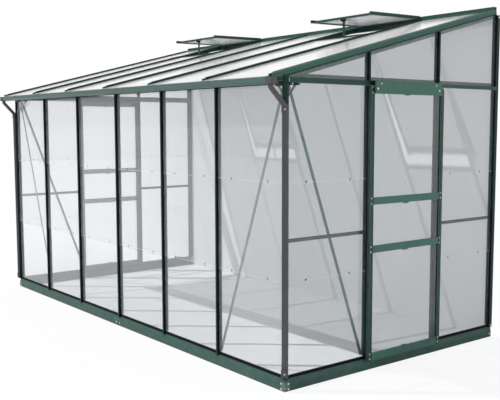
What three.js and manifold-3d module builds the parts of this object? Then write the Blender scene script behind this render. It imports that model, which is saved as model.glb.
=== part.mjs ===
// Lean-to greenhouse: a glazed frame of aluminium bars, six bays long and three deep, open at the
// back where it stands against a wall. A gutter runs along the eaves and drains at both front
// corners. Each end has a sliding door hung on two rollers, and the roof has two vents on stays.
//
// Millimetres. X runs along the wall, Y runs towards it and Z is up. While the pieces are made,
// Y = 0 is the line of the front bars. The finished group is moved so that its origin lies on the
// ground, halfway along and halfway between the front of the gutter outlets and the wall.
//
// Sections are drawn in (across, out), where out points away from the room.

import * as THREE from 'three';
import { mergeVertices } from 'three/addons/utils/BufferGeometryUtils.js';
import Module from 'manifold-3d';

// Clearances
const GAP = 0.3; // between pieces that touch
const OVERRUN = 60; // how far a cutter runs past what it cuts
const LAPPED = 4; // how far fused lengths run into each other

// Plan
const BAY = 630;
const WALL_BAY = 605; // the bay beside the wall
const HALF_BAYS = 3; // front bays on each side of the middle bar
const EDGE = 20; // outermost bar lines to the outer faces

// Heights
const ROOF_FRONT_Z = 1790; // rafter tops over the front bars
const ROOF_WALL_Z = 2274; // rafter tops at the wall
const EAVES_DROP = 68; // underside of the eaves beam below the rafters' tops
const TRACK_DROP = 6; // underside of the door tracks below the eaves beam

// Base rails, with the sill that carries glass and bars
const BASE_WALL = 2.5;
const BASE_FACE = 40; // height of the upright outer face
const SILL_Z = 70;
const SILL_OUT = 12; // outer edge of the sill's shelf
const BASE_IN = 18;
const BASE_LIP = 12;
const UPSTAND = 16; // flange behind the foot of the glass

// Glazing bar
const BAR_NOSE = 12; // width of the nose between two panes
const BAR_OUT = 26; // centre line to the nose's face
const BAR_IN = 16; // centre line to the back
const BAR_FLANGE = 30;
const FLANGE_WALL = 3;
const BAR_STEM = 18;
const BAR_CHAMFER = 1.5;
const BAR_TOE = 6; // front bar's nose below the sill's shelf, in front of it
const CHANNEL_MOUTH = 7;
const CHANNEL_WIDTH = 12;
const CHANNEL_DEPTH = 9;
const CHANNEL_LIP = 2.5;

// Corner and wall posts
const POST_WALL = 3;
const POST_CHAMFER = 12;

// Knee bracket at the head of a corner post, and angle inside the base's corner
const KNEE = 85; // reach of the diagonal along the wall
const KNEE_WIDTH = 18; // measured upright
const KNEE_WALL = 3;
const KNEE_ARM = 70;
const KNEE_ARM_OUT = 10; // arm outside the glass, from the bars' centre line
const ANGLE_LENGTH = 60;
const ANGLE_WALL = 3;
const ANGLE_Z = 8;
const ANGLE_HEIGHT = 52;

// Glass
const PANE = 3;
const TIERS = 3; // lapped panes in a bay
const TIER = 555; // rise from one lapped pane to the next
const LAP = 12;
const PANE_SIDE = 1.5; // pane edge to the nose beside it
const PANE_OVERHANG = 14; // roof pane beyond the rafter's end

// Rafters, wall plate and vent sill
const RAFTER_OUT = 16; // centre line to the nose's face, lower than a wall bar's
const RAFTER_OVERHANG = 112; // rafter end beyond the front bars
const RAFTER_TAIL = 24; // depth of the trimmed rafter over the gutter
const RAFTER_LIP = 1.5; // how far the gable rafter's outer wall hangs below it
const LIP_WALL = 3.5;
const GABLE_FLANGE = 28; // flange behind the end panes, below the gable rafter
const GABLE_FLANGE_WALL = 3;
const PLATE_DROP = 48; // wall plate's underside below the rafters' tops at the wall
const PLATE_RISE = 5; // its top above them
const PLATE_LIP = 6; // weather lip that stands above the plate's top
const PLATE_WALL = 3;
const SILL_WEB = 4;
const SILL_LEDGE = 14;
const SILL_LID = 2.4;
const SILL_FOOT = 8; // vent sill below the panes' flange
const VENT_SILL_DROP = 1; // top of the vent sill's web below the rafters' tops

// Eaves beam and gutter
const EAVES_WALL = 2.5;
const GUTTER_OUT = 140;
const GUTTER_BACK = 98;
const GUTTER_DROP = 16; // trough's underside below the eaves beam
const GUTTER_HEIGHT = 35;
const GUTTER_BEND = 12;
const GUTTER_LIP = 6;

// Gutter outlet, swan-neck and downpipe
const OUTLET_LENGTH = 47;
const OUTLET_WALL = 2.5;
const PIPE_WIDTH = 34;
const PIPE_DEPTH = 22;
const PIPE_EDGE = 4;
const NECK_WIDTH = 34;
const NECK_DEPTH = 27;
const NECK_DROP = 17; // first elbow below the outlet
const NECK_FALL = 101; // from the first elbow to the second
const COLLAR_HEIGHT = 34;
const CLIP_PROUD = 3; // clips stand this far round the pipe
const PIPE_FOOT = 84;
const FOOT_CLIP = 46;

// Door track, with its header over the doorway
const TRACK_HEIGHT = 30;
const TRACK_WALL = 2.5;
const TRACK_TOP_RIB = 8;
const TRACK_REACH = 15;
const RUNNER_RIB = 7.5; // height of the rib that the rollers run on
const WALL_BAR_HEIGHT = 23;
const WALL_BAR_RIB = 4;
const INNER_RISE = 24; // rail inside the glass above the track's top

// Mid bars
const MID_Z = 837;
const MID_HEIGHT = 22;
const MID_WALL = 2.5;
const MID_SET_IN = 3;

// Braces
const BRACE_WIDTH = 20;
const BRACE_WALL = 3;
const BRACE_HEAD_IN = 34; // head bolt from the post's centre line
const BRACE_HEAD_Z = 1705;
const BRACE_FOOT_Z = 100;
const END_BRACE_SHORT = 15; // end brace's foot bolt before the jamb's centre line

// Sliding door
const DOOR_LAP = 19; // how far the door reaches past each jamb's centre line
const DOOR_IN = 32; // inner face of the door out from the end bars' centre line
const STILE_WIDTH = 34;
const STILE_DEPTH = 18;
const STILE_GROOVE = 4;
const GROOVE_DEPTH = 2;
const GROOVE_SET_IN = 19;
const DOOR_FOOT = 62;
const STILE_CLEAR = 2; // stiles' tops below the track
const REBATE = 8; // depth of the stile's slot for the pane
const PANE_SET_OUT = 8; // pane out from the door's inner face
const RAIL_PROUD = 2; // rails stand out of the stiles' faces
const RAIL_WALL = 2.5;
const RAIL_HEIGHT = 44;
const UPPER_RAIL = 1014;
const LOWER_RAIL = 724;
const FOOT_BOARD = 49;
const HEAD_RAIL = 23;
const BOARD_SET_IN = 25; // top board in from the door's sides
const BOARD_HEIGHT = 78;
const BOARD_RISE = 3; // top board above the track
const BOARD_REACH = 11;
const BOARD_WALL = 3;
const GLIDE_HEIGHT = 6.5;
const GLIDE_WIDTH = 27;
const GLIDE_CLEAR = 0.7;

// Rollers
const AXLE_SET_IN = 75; // axle from the door's side
const AXLE_R = 3;
const ROLLER_R = 12;
const ROLLER_ROOT_R = 8;
const ROLLER_WIDTH = 8;
const ROLLER_GROOVE = 4;
const AXLE_CLEAR = 0.3;

// Roof vents
const VENT_BAY = 1; // bays from the middle bar to the vent's bay
const VENT_OPEN = THREE.MathUtils.degToRad(13.5);
const VENT_LENGTH = 521;
const VENT_SIDE = 16;
const VENT_SIDE_HEIGHT = 22;
const VENT_SIDE_START = 14;
const VENT_SIDE_OVERHANG = 12;
const BEAD_R = 4;
const BEAD_CLEAR = 0.5; // bead above the rafters
const VENT_HEAD = 20;
const VENT_FRONT = 17;
const VENT_FRONT_HEIGHT = 14;
const VENT_LEDGE = 10;
const VENT_LEDGE_WALL = 5;
const VENT_SILL_LAP = 9.5; // closed vent over its sill

// Vent stays
const STAY_SET_BACK = 32; // pivot from the vent's free edge
const STAY_DROP = 6; // pivot below the vent's underside
const STAY_WIDTH = 22;
const STAY_WALL = 3;
const EYE_R = 6;
const PIN_R = 2.5;
const EYE_CLEAR = 0.3;
const STAY_HOLES = 4;
const STAY_HOLE_R = 2.5;
const STAY_HOLE_PITCH = 28;
const EAR_WALL = 3;
const EAR_HALF = 8;
const EAR_TOP = 1; // ears' hold in the vent's front bar
const STAY_END = 12; // peg hole to the stay's foot
const PEG_R = 2.5;
const PEG_OUT = 7; // peg out from the rafters' centre line
const PEG_CLEAR = 0.5;

// Counts of sides
const ROUND_SIDES = 16;
const SMALL_SIDES = 12;
const END_STEPS = 6; // steps round the end of a brace

// Worked out from the sizes above
const CORNER_X = HALF_BAYS * BAY;
const DOOR_BAR_FRONT = BAY;
const DOOR_BAR_BACK = 2 * BAY;
const WALL_LINE = DOOR_BAR_BACK + WALL_BAY;
const WALL_Y = WALL_LINE + EDGE;
const SLOPE = Math.atan2(ROOF_WALL_Z - ROOF_FRONT_Z, WALL_Y);
const EAVES_Z = ROOF_FRONT_Z - EAVES_DROP;
const TRACK_Z = EAVES_Z - TRACK_DROP;
const TRACK_TOP = TRACK_Z + TRACK_HEIGHT;
const PLATE_Z = ROOF_WALL_Z - PLATE_DROP;
const PLATE_TOP = ROOF_WALL_Z + PLATE_RISE;
const GUTTER_Z = EAVES_Z - GUTTER_DROP;
const GUTTER_TOP = GUTTER_Z + GUTTER_HEIGHT;
const NECK_TOP = GUTTER_Z - NECK_DROP;
const NECK_FOOT = NECK_TOP - NECK_FALL;
const COLLAR_Z = NECK_FOOT - COLLAR_HEIGHT;
const STILE_TOP = TRACK_Z - STILE_CLEAR;
const BOARD_TOP = TRACK_TOP + BOARD_RISE;
const BOARD_Z = BOARD_TOP - BOARD_HEIGHT;
const RAFTER_DEPTH = RAFTER_OUT + BAR_IN;
const GLASS_FACE = FLANGE_WALL + GAP;
const PLATE_Y = WALL_LINE - BAR_FLANGE / 2;
const PLATE_DEPTH = WALL_Y - PLATE_Y;
const FRONT_REACH = GUTTER_OUT + OUTLET_WALL;
const TRACK_BACK = BAR_OUT + GAP;
const RUNNER = TRACK_BACK + TRACK_REACH - TRACK_WALL / 2;
const DOOR_MID = (DOOR_BAR_FRONT + DOOR_BAR_BACK) / 2;
const DOOR_WIDTH = DOOR_BAR_BACK - DOOR_BAR_FRONT + 2 * DOOR_LAP;
const AXLE_SPREAD = DOOR_WIDTH / 2 - AXLE_SET_IN;
const DOOR_OUT = DOOR_IN + STILE_DEPTH;
const AXLE_Z = TRACK_Z + RUNNER_RIB + ROLLER_ROOT_R + GAP;
const FOOT_NOTCH_Z = SILL_Z + UPSTAND + GAP;
const VENT_REST = VENT_OPEN - SLOPE;
const VENT_MID = (VENT_BAY + 0.5) * BAY;

const X = new THREE.Vector3(1, 0, 0);
const Y = new THREE.Vector3(0, 1, 0);
const Z = new THREE.Vector3(0, 0, 1);
const back = (vector) => vector.clone().negate();
const UP_SLOPE = new THREE.Vector3(0, Math.cos(SLOPE), Math.sin(SLOPE));
const ROOF_OUT = new THREE.Vector3(0, -Math.sin(SLOPE), Math.cos(SLOPE));

const wasm = await Module();
wasm.setup();

// Height of the rafters' tops, or of a face that lies a given depth below them, square to the roof
const roofZ = (y, depth = 0) => ROOF_FRONT_Z + y * Math.tan(SLOPE) - depth / Math.cos(SLOPE);

function toSolid(geometry) {
  const bare = geometry.clone();
  bare.deleteAttribute('normal');
  bare.deleteAttribute('uv');
  const merged = mergeVertices(bare);
  const vertProperties = Float32Array.from(merged.attributes.position.array);
  const triVerts = Uint32Array.from(merged.index.array);
  return new wasm.Manifold(new wasm.Mesh({ numProp: 3, vertProperties, triVerts }));
}

function toGeometry(solid) {
  const { vertProperties, triVerts } = solid.getMesh();
  const geometry = new THREE.BufferGeometry();
  geometry.setAttribute('position', new THREE.BufferAttribute(vertProperties, 3));
  geometry.setIndex(new THREE.BufferAttribute(triVerts, 1));
  geometry.computeVertexNormals();
  return geometry;
}

// Mirror copy in X, with its faces turned to point outwards again
function mirrored(geometry) {
  const copy = geometry.clone().scale(-1, 1, 1);
  const index = copy.index.array;
  for (let i = 0; i < index.length; i += 3) {
    [index[i], index[i + 1]] = [index[i + 1], index[i]];
  }
  copy.computeVertexNormals();
  return copy;
}

const flipped = (solid) => toSolid(mirrored(toGeometry(solid)));
const join = (...solids) => solids.reduce((whole, piece) => whole.add(piece));
const cut = (solid, ...cutters) => cutters.reduce((left, cutter) => left.subtract(cutter), solid);

// Extrudes an outline, whose axes become first and second, from origin along first x second
function prism(outline, length, origin, first, second) {
  const shape = new THREE.Shape(outline.map(([across, out]) => new THREE.Vector2(across, out)));
  const geometry = new THREE.ExtrudeGeometry(shape, { depth: length, bevelEnabled: false });
  const along = new THREE.Vector3().crossVectors(first, second);
  const frame = new THREE.Matrix4().makeBasis(first, second, along).setPosition(...origin);
  return toSolid(geometry.applyMatrix4(frame));
}

function bar(outline, length, origin, first, second, hollows = []) {
  const along = new THREE.Vector3().crossVectors(first, second);
  const start = new THREE.Vector3(...origin).addScaledVector(along, -OVERRUN);
  const cores = hollows.map((hollow) => prism(hollow, length + 2 * OVERRUN, start, first, second));
  return cut(prism(outline, length, origin, first, second), ...cores);
}

function block([x0, y0, z0], [x1, y1, z1]) {
  const geometry = new THREE.BoxGeometry(x1 - x0, y1 - y0, z1 - z0);
  return toSolid(geometry.translate((x0 + x1) / 2, (y0 + y1) / 2, (z0 + z1) / 2));
}

// A rod of a given radius from one point along an axis
function rod(radius, length, origin, axis, sides = SMALL_SIDES) {
  const geometry = new THREE.CylinderGeometry(radius, radius, length, sides);
  const turn = new THREE.Quaternion().setFromUnitVectors(Y, axis);
  const middle = new THREE.Vector3(...origin).addScaledVector(axis, length / 2);
  return toSolid(geometry.applyQuaternion(turn).translate(...middle));
}

const rectangle = (a0, b0, a1, b1) => [[a0, b0], [a1, b0], [a1, b1], [a0, b1]];

// A path's copy, moved a given distance to its left
function offsetPath(path, distance) {
  const normals = path.slice(1).map(([a, b], i) => {
    const run = Math.hypot(a - path[i][0], b - path[i][1]);
    return [(path[i][1] - b) / run, (a - path[i][0]) / run];
  });
  return path.map(([a, b], i) => {
    const before = normals[Math.max(i - 1, 0)];
    const after = normals[Math.min(i, normals.length - 1)];
    const sum = [before[0] + after[0], before[1] + after[1]];
    const reach = distance / (1 + before[0] * after[0] + before[1] * after[1]);
    return [a + sum[0] * reach, b + sum[1] * reach];
  });
}

// Outline of a bent sheet that lies between two distances to the left of a path
function layer(path, from, to) {
  return [...offsetPath(path, from), ...offsetPath(path, to).reverse()];
}

const sheet = (path, wall) => layer(path, 0, wall);

// Everything above a face that lies a given depth below the rafters' tops
function aboveRoof(depth) {
  const front = -FRONT_REACH - OVERRUN;
  const rear = WALL_Y + OVERRUN;
  const high = ROOF_WALL_Z + BAY;
  const outline = [[front, roofZ(front, depth)], [rear, roofZ(rear, depth)], [rear, high], [front, high]];
  return bar(outline, 2 * (CORNER_X + BAY), [-CORNER_X - BAY, 0, 0], Y, Z);
}

const UNDER_RAFTERS = aboveRoof(RAFTER_DEPTH + GAP);
const UNDER_LIP = aboveRoof(RAFTER_DEPTH + RAFTER_LIP + GAP);

function barSection(out) {
  const half = [
    [BAR_NOSE / 2 - BAR_CHAMFER, out],
    [BAR_NOSE / 2, out - BAR_CHAMFER],
    [BAR_NOSE / 2, FLANGE_WALL],
    [BAR_FLANGE / 2, FLANGE_WALL],
    [BAR_FLANGE / 2, 0],
    [BAR_STEM / 2, 0],
    [BAR_STEM / 2, -BAR_IN],
    [CHANNEL_MOUTH / 2, -BAR_IN],
    [CHANNEL_MOUTH / 2, CHANNEL_LIP - BAR_IN],
    [CHANNEL_WIDTH / 2, CHANNEL_LIP - BAR_IN],
    [CHANNEL_WIDTH / 2, CHANNEL_DEPTH - BAR_IN],
  ];
  return [...half, ...half.map(([across, high]) => [-across, high]).reverse()];
}

function baseSection() {
  const skin = [
    [-BASE_IN, BASE_LIP],
    [-BASE_IN, 0],
    [EDGE, 0],
    [EDGE, BASE_FACE],
    [SILL_OUT, SILL_Z],
    [-GAP, SILL_Z],
    [-GAP, SILL_Z + UPSTAND],
  ];
  return sheet(skin, BASE_WALL);
}

// Mitre cutter at the right front corner: side 1 trims the front rail and side -1 the end rail
function mitre(side) {
  const reach = 2 * EDGE;
  const shift = (side * GAP) / 2;
  const outline = [
    [CORNER_X - reach - shift, reach],
    [CORNER_X + reach - shift, -reach],
    [CORNER_X + side * reach, side * reach],
  ];
  return bar(outline, SILL_Z + 2 * OVERRUN, [0, 0, -OVERRUN], X, Y);
}

// Angle inside the base's right front corner: one leg on each rail, bolted through both
function baseAngle() {
  const top = ANGLE_Z + ANGLE_HEIGHT;
  const slopeShare = (top - BASE_FACE) / (SILL_Z - BASE_FACE);
  const skin = [
    [EDGE, ANGLE_Z],
    [EDGE, BASE_FACE],
    [EDGE + (SILL_OUT - EDGE) * slopeShare, top],
  ];
  const seated = BASE_WALL / 2;
  const clear = BASE_WALL + GAP;
  const inner = BASE_WALL + ANGLE_WALL;
  const reach = ANGLE_LENGTH + OVERRUN;
  const frontOrigin = [CORNER_X + EDGE, 0, 0];
  const endOrigin = [CORNER_X, ANGLE_LENGTH - EDGE, 0];
  const frontLeg = prism(layer(skin, seated, inner), ANGLE_LENGTH, frontOrigin, back(Y), Z);
  const endLeg = prism(layer(skin, clear, inner), ANGLE_LENGTH, endOrigin, X, Z);
  const insideEnd = prism(layer(skin, clear, reach), ANGLE_LENGTH, endOrigin, X, Z);
  const insideFront = prism(layer(skin, seated, reach), ANGLE_LENGTH, frontOrigin, back(Y), Z);
  return join(frontLeg.intersect(insideEnd), endLeg.intersect(insideFront));
}

function frontBase() {
  const half = CORNER_X + EDGE;
  const rail = bar(baseSection(), 2 * half, [half, 0, 0], back(Y), Z);
  const rightMitre = mitre(1);
  const angle = baseAngle();
  return join(cut(rail, rightMitre, flipped(rightMitre)), angle, flipped(angle));
}

function endBase() {
  const rail = bar(baseSection(), WALL_Y + EDGE, [CORNER_X, WALL_Y, 0], X, Z);
  return cut(rail, mitre(-1));
}

// Takes the part behind the glass line off the foot of a bar, where the sill's upstand runs
function footNotch(x, y, out) {
  const reach = 2 * EDGE;
  const side = new THREE.Vector3().crossVectors(out, Z);
  return prism(rectangle(-reach, -reach, reach, 0), FOOT_NOTCH_Z, [x, y, 0], side, out);
}

// The front of the nose hangs down before the sill, and the rest of the bar stands on it
function frontBar(x) {
  const foot = SILL_Z + GAP;
  const toe = foot - BAR_TOE;
  const whole = bar(barSection(BAR_OUT), EAVES_Z - GAP - toe, [x, 0, toe], back(X), back(Y));
  const toeBack = -(SILL_OUT + EDGE) / 2;
  const overSill = block([x - BAR_FLANGE, toeBack, toe - OVERRUN], [x + BAR_FLANGE, 2 * EDGE, foot]);
  return cut(whole, footNotch(x, 0, back(Y)), overSill);
}

// Knee bracket in one wall, which runs along first from the corner: an arm outside the glass and a
// diagonal inside it. The bracket's outer and inner faces are given from the bars' centre line.
function kneeBracket(first, armOrigin, kneeOrigin) {
  const top = EAVES_Z - GAP;
  const start = BAR_NOSE / 2;
  const arm = rectangle(start - POST_WALL / 2, top - KNEE_WIDTH, start + KNEE_ARM, top);
  const foot = BAR_IN - POST_WALL / 2;
  const far = BAR_IN + KNEE;
  const diagonal = [
    [foot, top - KNEE - KNEE_WIDTH],
    [far, top],
    [far - KNEE_WIDTH, top],
    [foot, top - KNEE],
  ];
  return join(
    prism(arm, KNEE_WALL, armOrigin, first, Z),
    prism(diagonal, KNEE_WALL, kneeOrigin, first, Z),
  );
}

function kneeBrackets() {
  const armIn = KNEE_ARM_OUT;
  const armOut = KNEE_ARM_OUT + KNEE_WALL;
  const inner = BAR_IN - KNEE_WALL;
  const front = kneeBracket(back(X), [CORNER_X, -armOut, 0], [CORNER_X, inner, 0]);
  const end = kneeBracket(Y, [CORNER_X + armIn, 0, 0], [CORNER_X - BAR_IN, 0, 0]);
  return join(front, end);
}

function cornerPost() {
  const inner = -BAR_IN;
  const side = -BAR_NOSE / 2;
  const chamfer = EDGE - POST_CHAMFER;
  const outline = [
    [inner, inner],
    [FLANGE_WALL, inner],
    [FLANGE_WALL, side],
    [EDGE, side],
    [EDGE, chamfer],
    [chamfer, EDGE],
    [side, EDGE],
    [side, FLANGE_WALL],
    [inner, FLANGE_WALL],
  ];
  const core = rectangle(inner + POST_WALL, inner + POST_WALL, 0, 0);
  const thick = POST_WALL;
  const nook = chamfer - thick / 2;
  const nose = [
    [side + thick, FLANGE_WALL],
    [FLANGE_WALL, FLANGE_WALL],
    [FLANGE_WALL, side + thick],
    [EDGE - thick, side + thick],
    [EDGE - thick, nook],
    [nook, EDGE - thick],
    [side + thick, EDGE - thick],
  ];
  const foot = SILL_Z + GAP;
  const length = ROOF_FRONT_Z - foot;
  const post = bar(outline, length, [CORNER_X, 0, foot], back(Y), X, [core, nose]);
  const notch = block([CORNER_X - 2 * EDGE, 0, 0], [CORNER_X, 2 * EDGE, FOOT_NOTCH_Z]);
  return join(cut(post, notch, UNDER_LIP), kneeBrackets());
}

function wallPost() {
  const side = -BAR_NOSE / 2;
  const outline = [
    [-BAR_FLANGE / 2, 0],
    [-BAR_FLANGE / 2, FLANGE_WALL],
    [side, FLANGE_WALL],
    [side, BAR_OUT],
    [EDGE, BAR_OUT],
    [EDGE, -BAR_IN],
    [-BAR_STEM / 2, -BAR_IN],
    [-BAR_STEM / 2, 0],
  ];
  const hollow = rectangle(side + POST_WALL, POST_WALL - BAR_IN, EDGE - POST_WALL, BAR_OUT - POST_WALL);
  const foot = SILL_Z + GAP;
  const origin = [CORNER_X, WALL_LINE, foot];
  // The section is drawn towards the wall, so it is extruded downwards from the wall plate
  const top = PLATE_Z - GAP;
  const post = bar(outline, top - foot, [origin[0], origin[1], top], Y, X, [hollow]);
  return cut(post, footNotch(CORNER_X, WALL_LINE, X));
}

// Bar beside a doorway
function jamb(y) {
  const foot = SILL_Z + GAP;
  const upright = bar(barSection(BAR_OUT), ROOF_WALL_Z - foot, [CORNER_X, y, foot], back(Y), X);
  return cut(upright, footNotch(CORNER_X, y, X), UNDER_LIP);
}

// Light angle across a fixed bay, inside the glass
function midBar(fromY, toY) {
  const skin = [[MID_WALL - BAR_IN, MID_Z], [-MID_SET_IN, MID_Z], [-MID_SET_IN, MID_Z + MID_HEIGHT]];
  return bar(sheet(skin, MID_WALL), toY - fromY, [CORNER_X, toY, 0], X, Z);
}

const STEM_HOLD = BAR_STEM / 2 - MID_WALL / 2; // a mid bar's end inside its jamb's stem

function frontJamb() {
  const middle = midBar(BAR_IN + GAP, DOOR_BAR_FRONT - STEM_HOLD);
  return join(jamb(DOOR_BAR_FRONT), middle);
}

function backJamb() {
  const middle = midBar(DOOR_BAR_BACK + STEM_HOLD, WALL_LINE - BAR_STEM / 2 - GAP);
  return join(jamb(DOOR_BAR_BACK), middle);
}

function eavesGutter() {
  const beamTop = (out) => roofZ(-out, RAFTER_DEPTH + GAP);
  const wall = EAVES_WALL;
  const outline = [
    [-EDGE, EAVES_Z],
    [GUTTER_BACK, EAVES_Z],
    [GUTTER_BACK, GUTTER_Z],
    [GUTTER_OUT - GUTTER_BEND, GUTTER_Z],
    [GUTTER_OUT, GUTTER_Z + GUTTER_BEND],
    [GUTTER_OUT, GUTTER_TOP],
    [GUTTER_OUT - GUTTER_LIP, GUTTER_TOP],
    [GUTTER_OUT - GUTTER_LIP, GUTTER_TOP - wall],
    [GUTTER_OUT - wall, GUTTER_TOP - wall],
    [GUTTER_OUT - wall, GUTTER_Z + GUTTER_BEND + wall / 2],
    [GUTTER_OUT - GUTTER_BEND - wall / 2, GUTTER_Z + wall],
    [GUTTER_BACK + wall, GUTTER_Z + wall],
    [GUTTER_BACK + wall, EAVES_Z + wall],
    [EDGE + wall, EAVES_Z + wall],
    [EDGE + wall, beamTop(EDGE + wall)],
    [-EDGE, beamTop(-EDGE)],
  ];
  const inner = EDGE - wall;
  const hollow = [
    [-inner, EAVES_Z + wall],
    [inner, EAVES_Z + wall],
    [inner, beamTop(inner) - wall],
    [-inner, beamTop(-inner) - wall],
  ];
  const whole = bar(outline, 2 * CORNER_X, [CORNER_X, 0, 0], back(Y), Z, [hollow]);
  const beamEnd = CORNER_X - BAR_IN - GAP;
  const high = ROOF_FRONT_Z + OVERRUN;
  const low = GUTTER_Z - OVERRUN;
  const front = -EDGE - GAP;
  const right = block([beamEnd, front, low], [CORNER_X + OVERRUN, 2 * EDGE, high]);
  const left = block([-CORNER_X - OVERRUN, front, low], [-beamEnd, 2 * EDGE, high]);
  return cut(whole, right, left);
}

// Trims the back off a rafter where it passes over the gutter
function tailCutter(x) {
  const top = -2 * RAFTER_DEPTH;
  const outline = rectangle(-2 * EDGE, top, 2 * EDGE, RAFTER_OUT - RAFTER_TAIL);
  const start = -RAFTER_OVERHANG - OVERRUN;
  const length = (-EDGE - GAP - start) / Math.cos(SLOPE);
  return bar(outline, length, rafterPoint(x, start), back(X), ROOF_OUT);
}

// Point on the centre line of the rafters' section at a given y
function rafterPoint(x, y) {
  return [x, y, roofZ(y, RAFTER_OUT)];
}

function rafter(x, endY) {
  const length = (endY + RAFTER_OVERHANG) / Math.cos(SLOPE);
  const whole = bar(barSection(RAFTER_OUT), length, rafterPoint(x, -RAFTER_OVERHANG), back(X), ROOF_OUT);
  return cut(whole, tailCutter(x));
}

// Flange that hangs behind the end panes, notched round the posts, the jambs and the door track
function gableFlange() {
  const top = GABLE_FLANGE_WALL - BAR_IN;
  const foot = top - GABLE_FLANGE - GABLE_FLANGE_WALL;
  const inner = -BAR_STEM / 2;
  const outline = rectangle(inner, foot, inner + GABLE_FLANGE_WALL, top);
  const length = PLATE_Y / Math.cos(SLOPE);
  const whole = bar(outline, length, rafterPoint(CORNER_X, PLATE_Y), X, ROOF_OUT);
  const side = BAR_FLANGE / 2 + GAP;
  const near = CORNER_X - 2 * EDGE;
  const notches = [0, DOOR_BAR_FRONT, DOOR_BAR_BACK, WALL_LINE].map(
    (y) => block([near, y - side, 0], [CORNER_X, y + side, ROOF_WALL_Z]),
  );
  const corner = block([near, -2 * EDGE, 0], [CORNER_X, EDGE + GAP, ROOF_WALL_Z]);
  const overTrack = block([near, -2 * EDGE, 0], [CORNER_X, WALL_Y, TRACK_TOP + GAP]);
  return cut(whole, corner, overTrack, ...notches);
}

function gableRafter() {
  const side = -BAR_NOSE / 2;
  const lip = EDGE - LIP_WALL;
  const outline = [
    [-BAR_FLANGE / 2, 0],
    [-BAR_FLANGE / 2, FLANGE_WALL],
    [side, FLANGE_WALL],
    [side, RAFTER_OUT],
    [EDGE, RAFTER_OUT],
    [EDGE, -BAR_IN - RAFTER_LIP],
    [lip, -BAR_IN - RAFTER_LIP],
    [lip, -BAR_IN],
    [-BAR_STEM / 2, -BAR_IN],
    [-BAR_STEM / 2, 0],
  ];
  const wall = POST_WALL;
  const hollow = rectangle(side + wall, wall - BAR_IN / 2, EDGE - wall, RAFTER_OUT - wall);
  const length = (PLATE_Y + RAFTER_OVERHANG) / Math.cos(SLOPE);
  const head = rafterPoint(CORNER_X, PLATE_Y);
  const whole = bar(outline, length, head, X, ROOF_OUT, [hollow]);
  const behind = block(
    [CORNER_X - 2 * EDGE, PLATE_Y - GAP, 0],
    [CORNER_X + 2 * EDGE, WALL_Y + OVERRUN, ROOF_WALL_Z + OVERRUN],
  );
  return join(cut(whole, tailCutter(CORNER_X), behind), gableFlange());
}

function wallPlate() {
  const lipOut = PLATE_DEPTH - 2 * PLATE_LIP;
  const outline = [
    [0, PLATE_Z],
    [PLATE_DEPTH, PLATE_Z],
    [PLATE_DEPTH, PLATE_TOP],
    [lipOut, PLATE_TOP],
    [lipOut - PLATE_LIP, PLATE_TOP + PLATE_LIP],
    [0, PLATE_TOP + PLATE_LIP],
  ];
  const wall = PLATE_WALL;
  const hollow = rectangle(wall, PLATE_Z + wall, PLATE_DEPTH - wall, PLATE_TOP - wall);
  const half = CORNER_X - BAR_NOSE / 2;
  return bar(outline, 2 * half, [half, WALL_Y, 0], back(Y), Z, [hollow]);
}

// Distance up the slope is v, from the front of the sill that the closed vent rests on
const VENT_AXIS_Y = PLATE_Y - GAP - BEAD_R;
const VENT_AXIS_Z = roofZ(VENT_AXIS_Y) + (BEAD_R + BEAD_CLEAR) / Math.cos(SLOPE);
const SILL_V = SILL_LEDGE + SILL_WEB;
const SILL_Y = VENT_AXIS_Y - (VENT_LENGTH - VENT_SILL_LAP + SILL_V) * Math.cos(SLOPE);

function ventSill(x) {
  const lid = GLASS_FACE + PANE + GAP;
  const outline = [
    [SILL_LEDGE / 2, 0],
    [SILL_LEDGE, 0],
    [SILL_LEDGE, -SILL_FOOT],
    [SILL_V, -SILL_FOOT],
    [SILL_V, RAFTER_OUT - VENT_SILL_DROP],
    [SILL_LEDGE, RAFTER_OUT - VENT_SILL_DROP],
    [SILL_LEDGE, lid + SILL_LID],
    [0, lid + SILL_LID],
    [0, lid],
    [SILL_LEDGE, lid],
    [SILL_LEDGE, FLANGE_WALL],
    [SILL_LEDGE / 2, FLANGE_WALL],
  ];
  const width = BAY - BAR_STEM / 2;
  const origin = rafterPoint(x - width / 2, SILL_Y);
  return bar(outline, width, origin, UP_SLOPE, ROOF_OUT);
}

// Height of the peg for the stay's holes, on the back of the vent sill
function pegZ() {
  return rafterPoint(0, SILL_Y)[2] + SILL_V * Math.sin(SLOPE) + PEG_OUT * Math.cos(SLOPE);
}

function stayPeg(x) {
  const start = SILL_Y + SILL_LEDGE;
  const end = stayPivot().y - STAY_WALL / 2 - PEG_CLEAR;
  return rod(PEG_R, end - start, [x, start, pegZ()], Y);
}

function roofFrame() {
  const inner = HALF_BAYS - 1;
  const rafters = [];
  for (let k = -inner; k <= inner; k += 1) {
    rafters.push(rafter(k * BAY, PLATE_Y + PLATE_WALL / 2));
  }
  const sills = [VENT_MID, -VENT_MID].flatMap((x) => [ventSill(x), stayPeg(x)]);
  return join(wallPlate(), ...rafters, ...sills);
}

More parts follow.
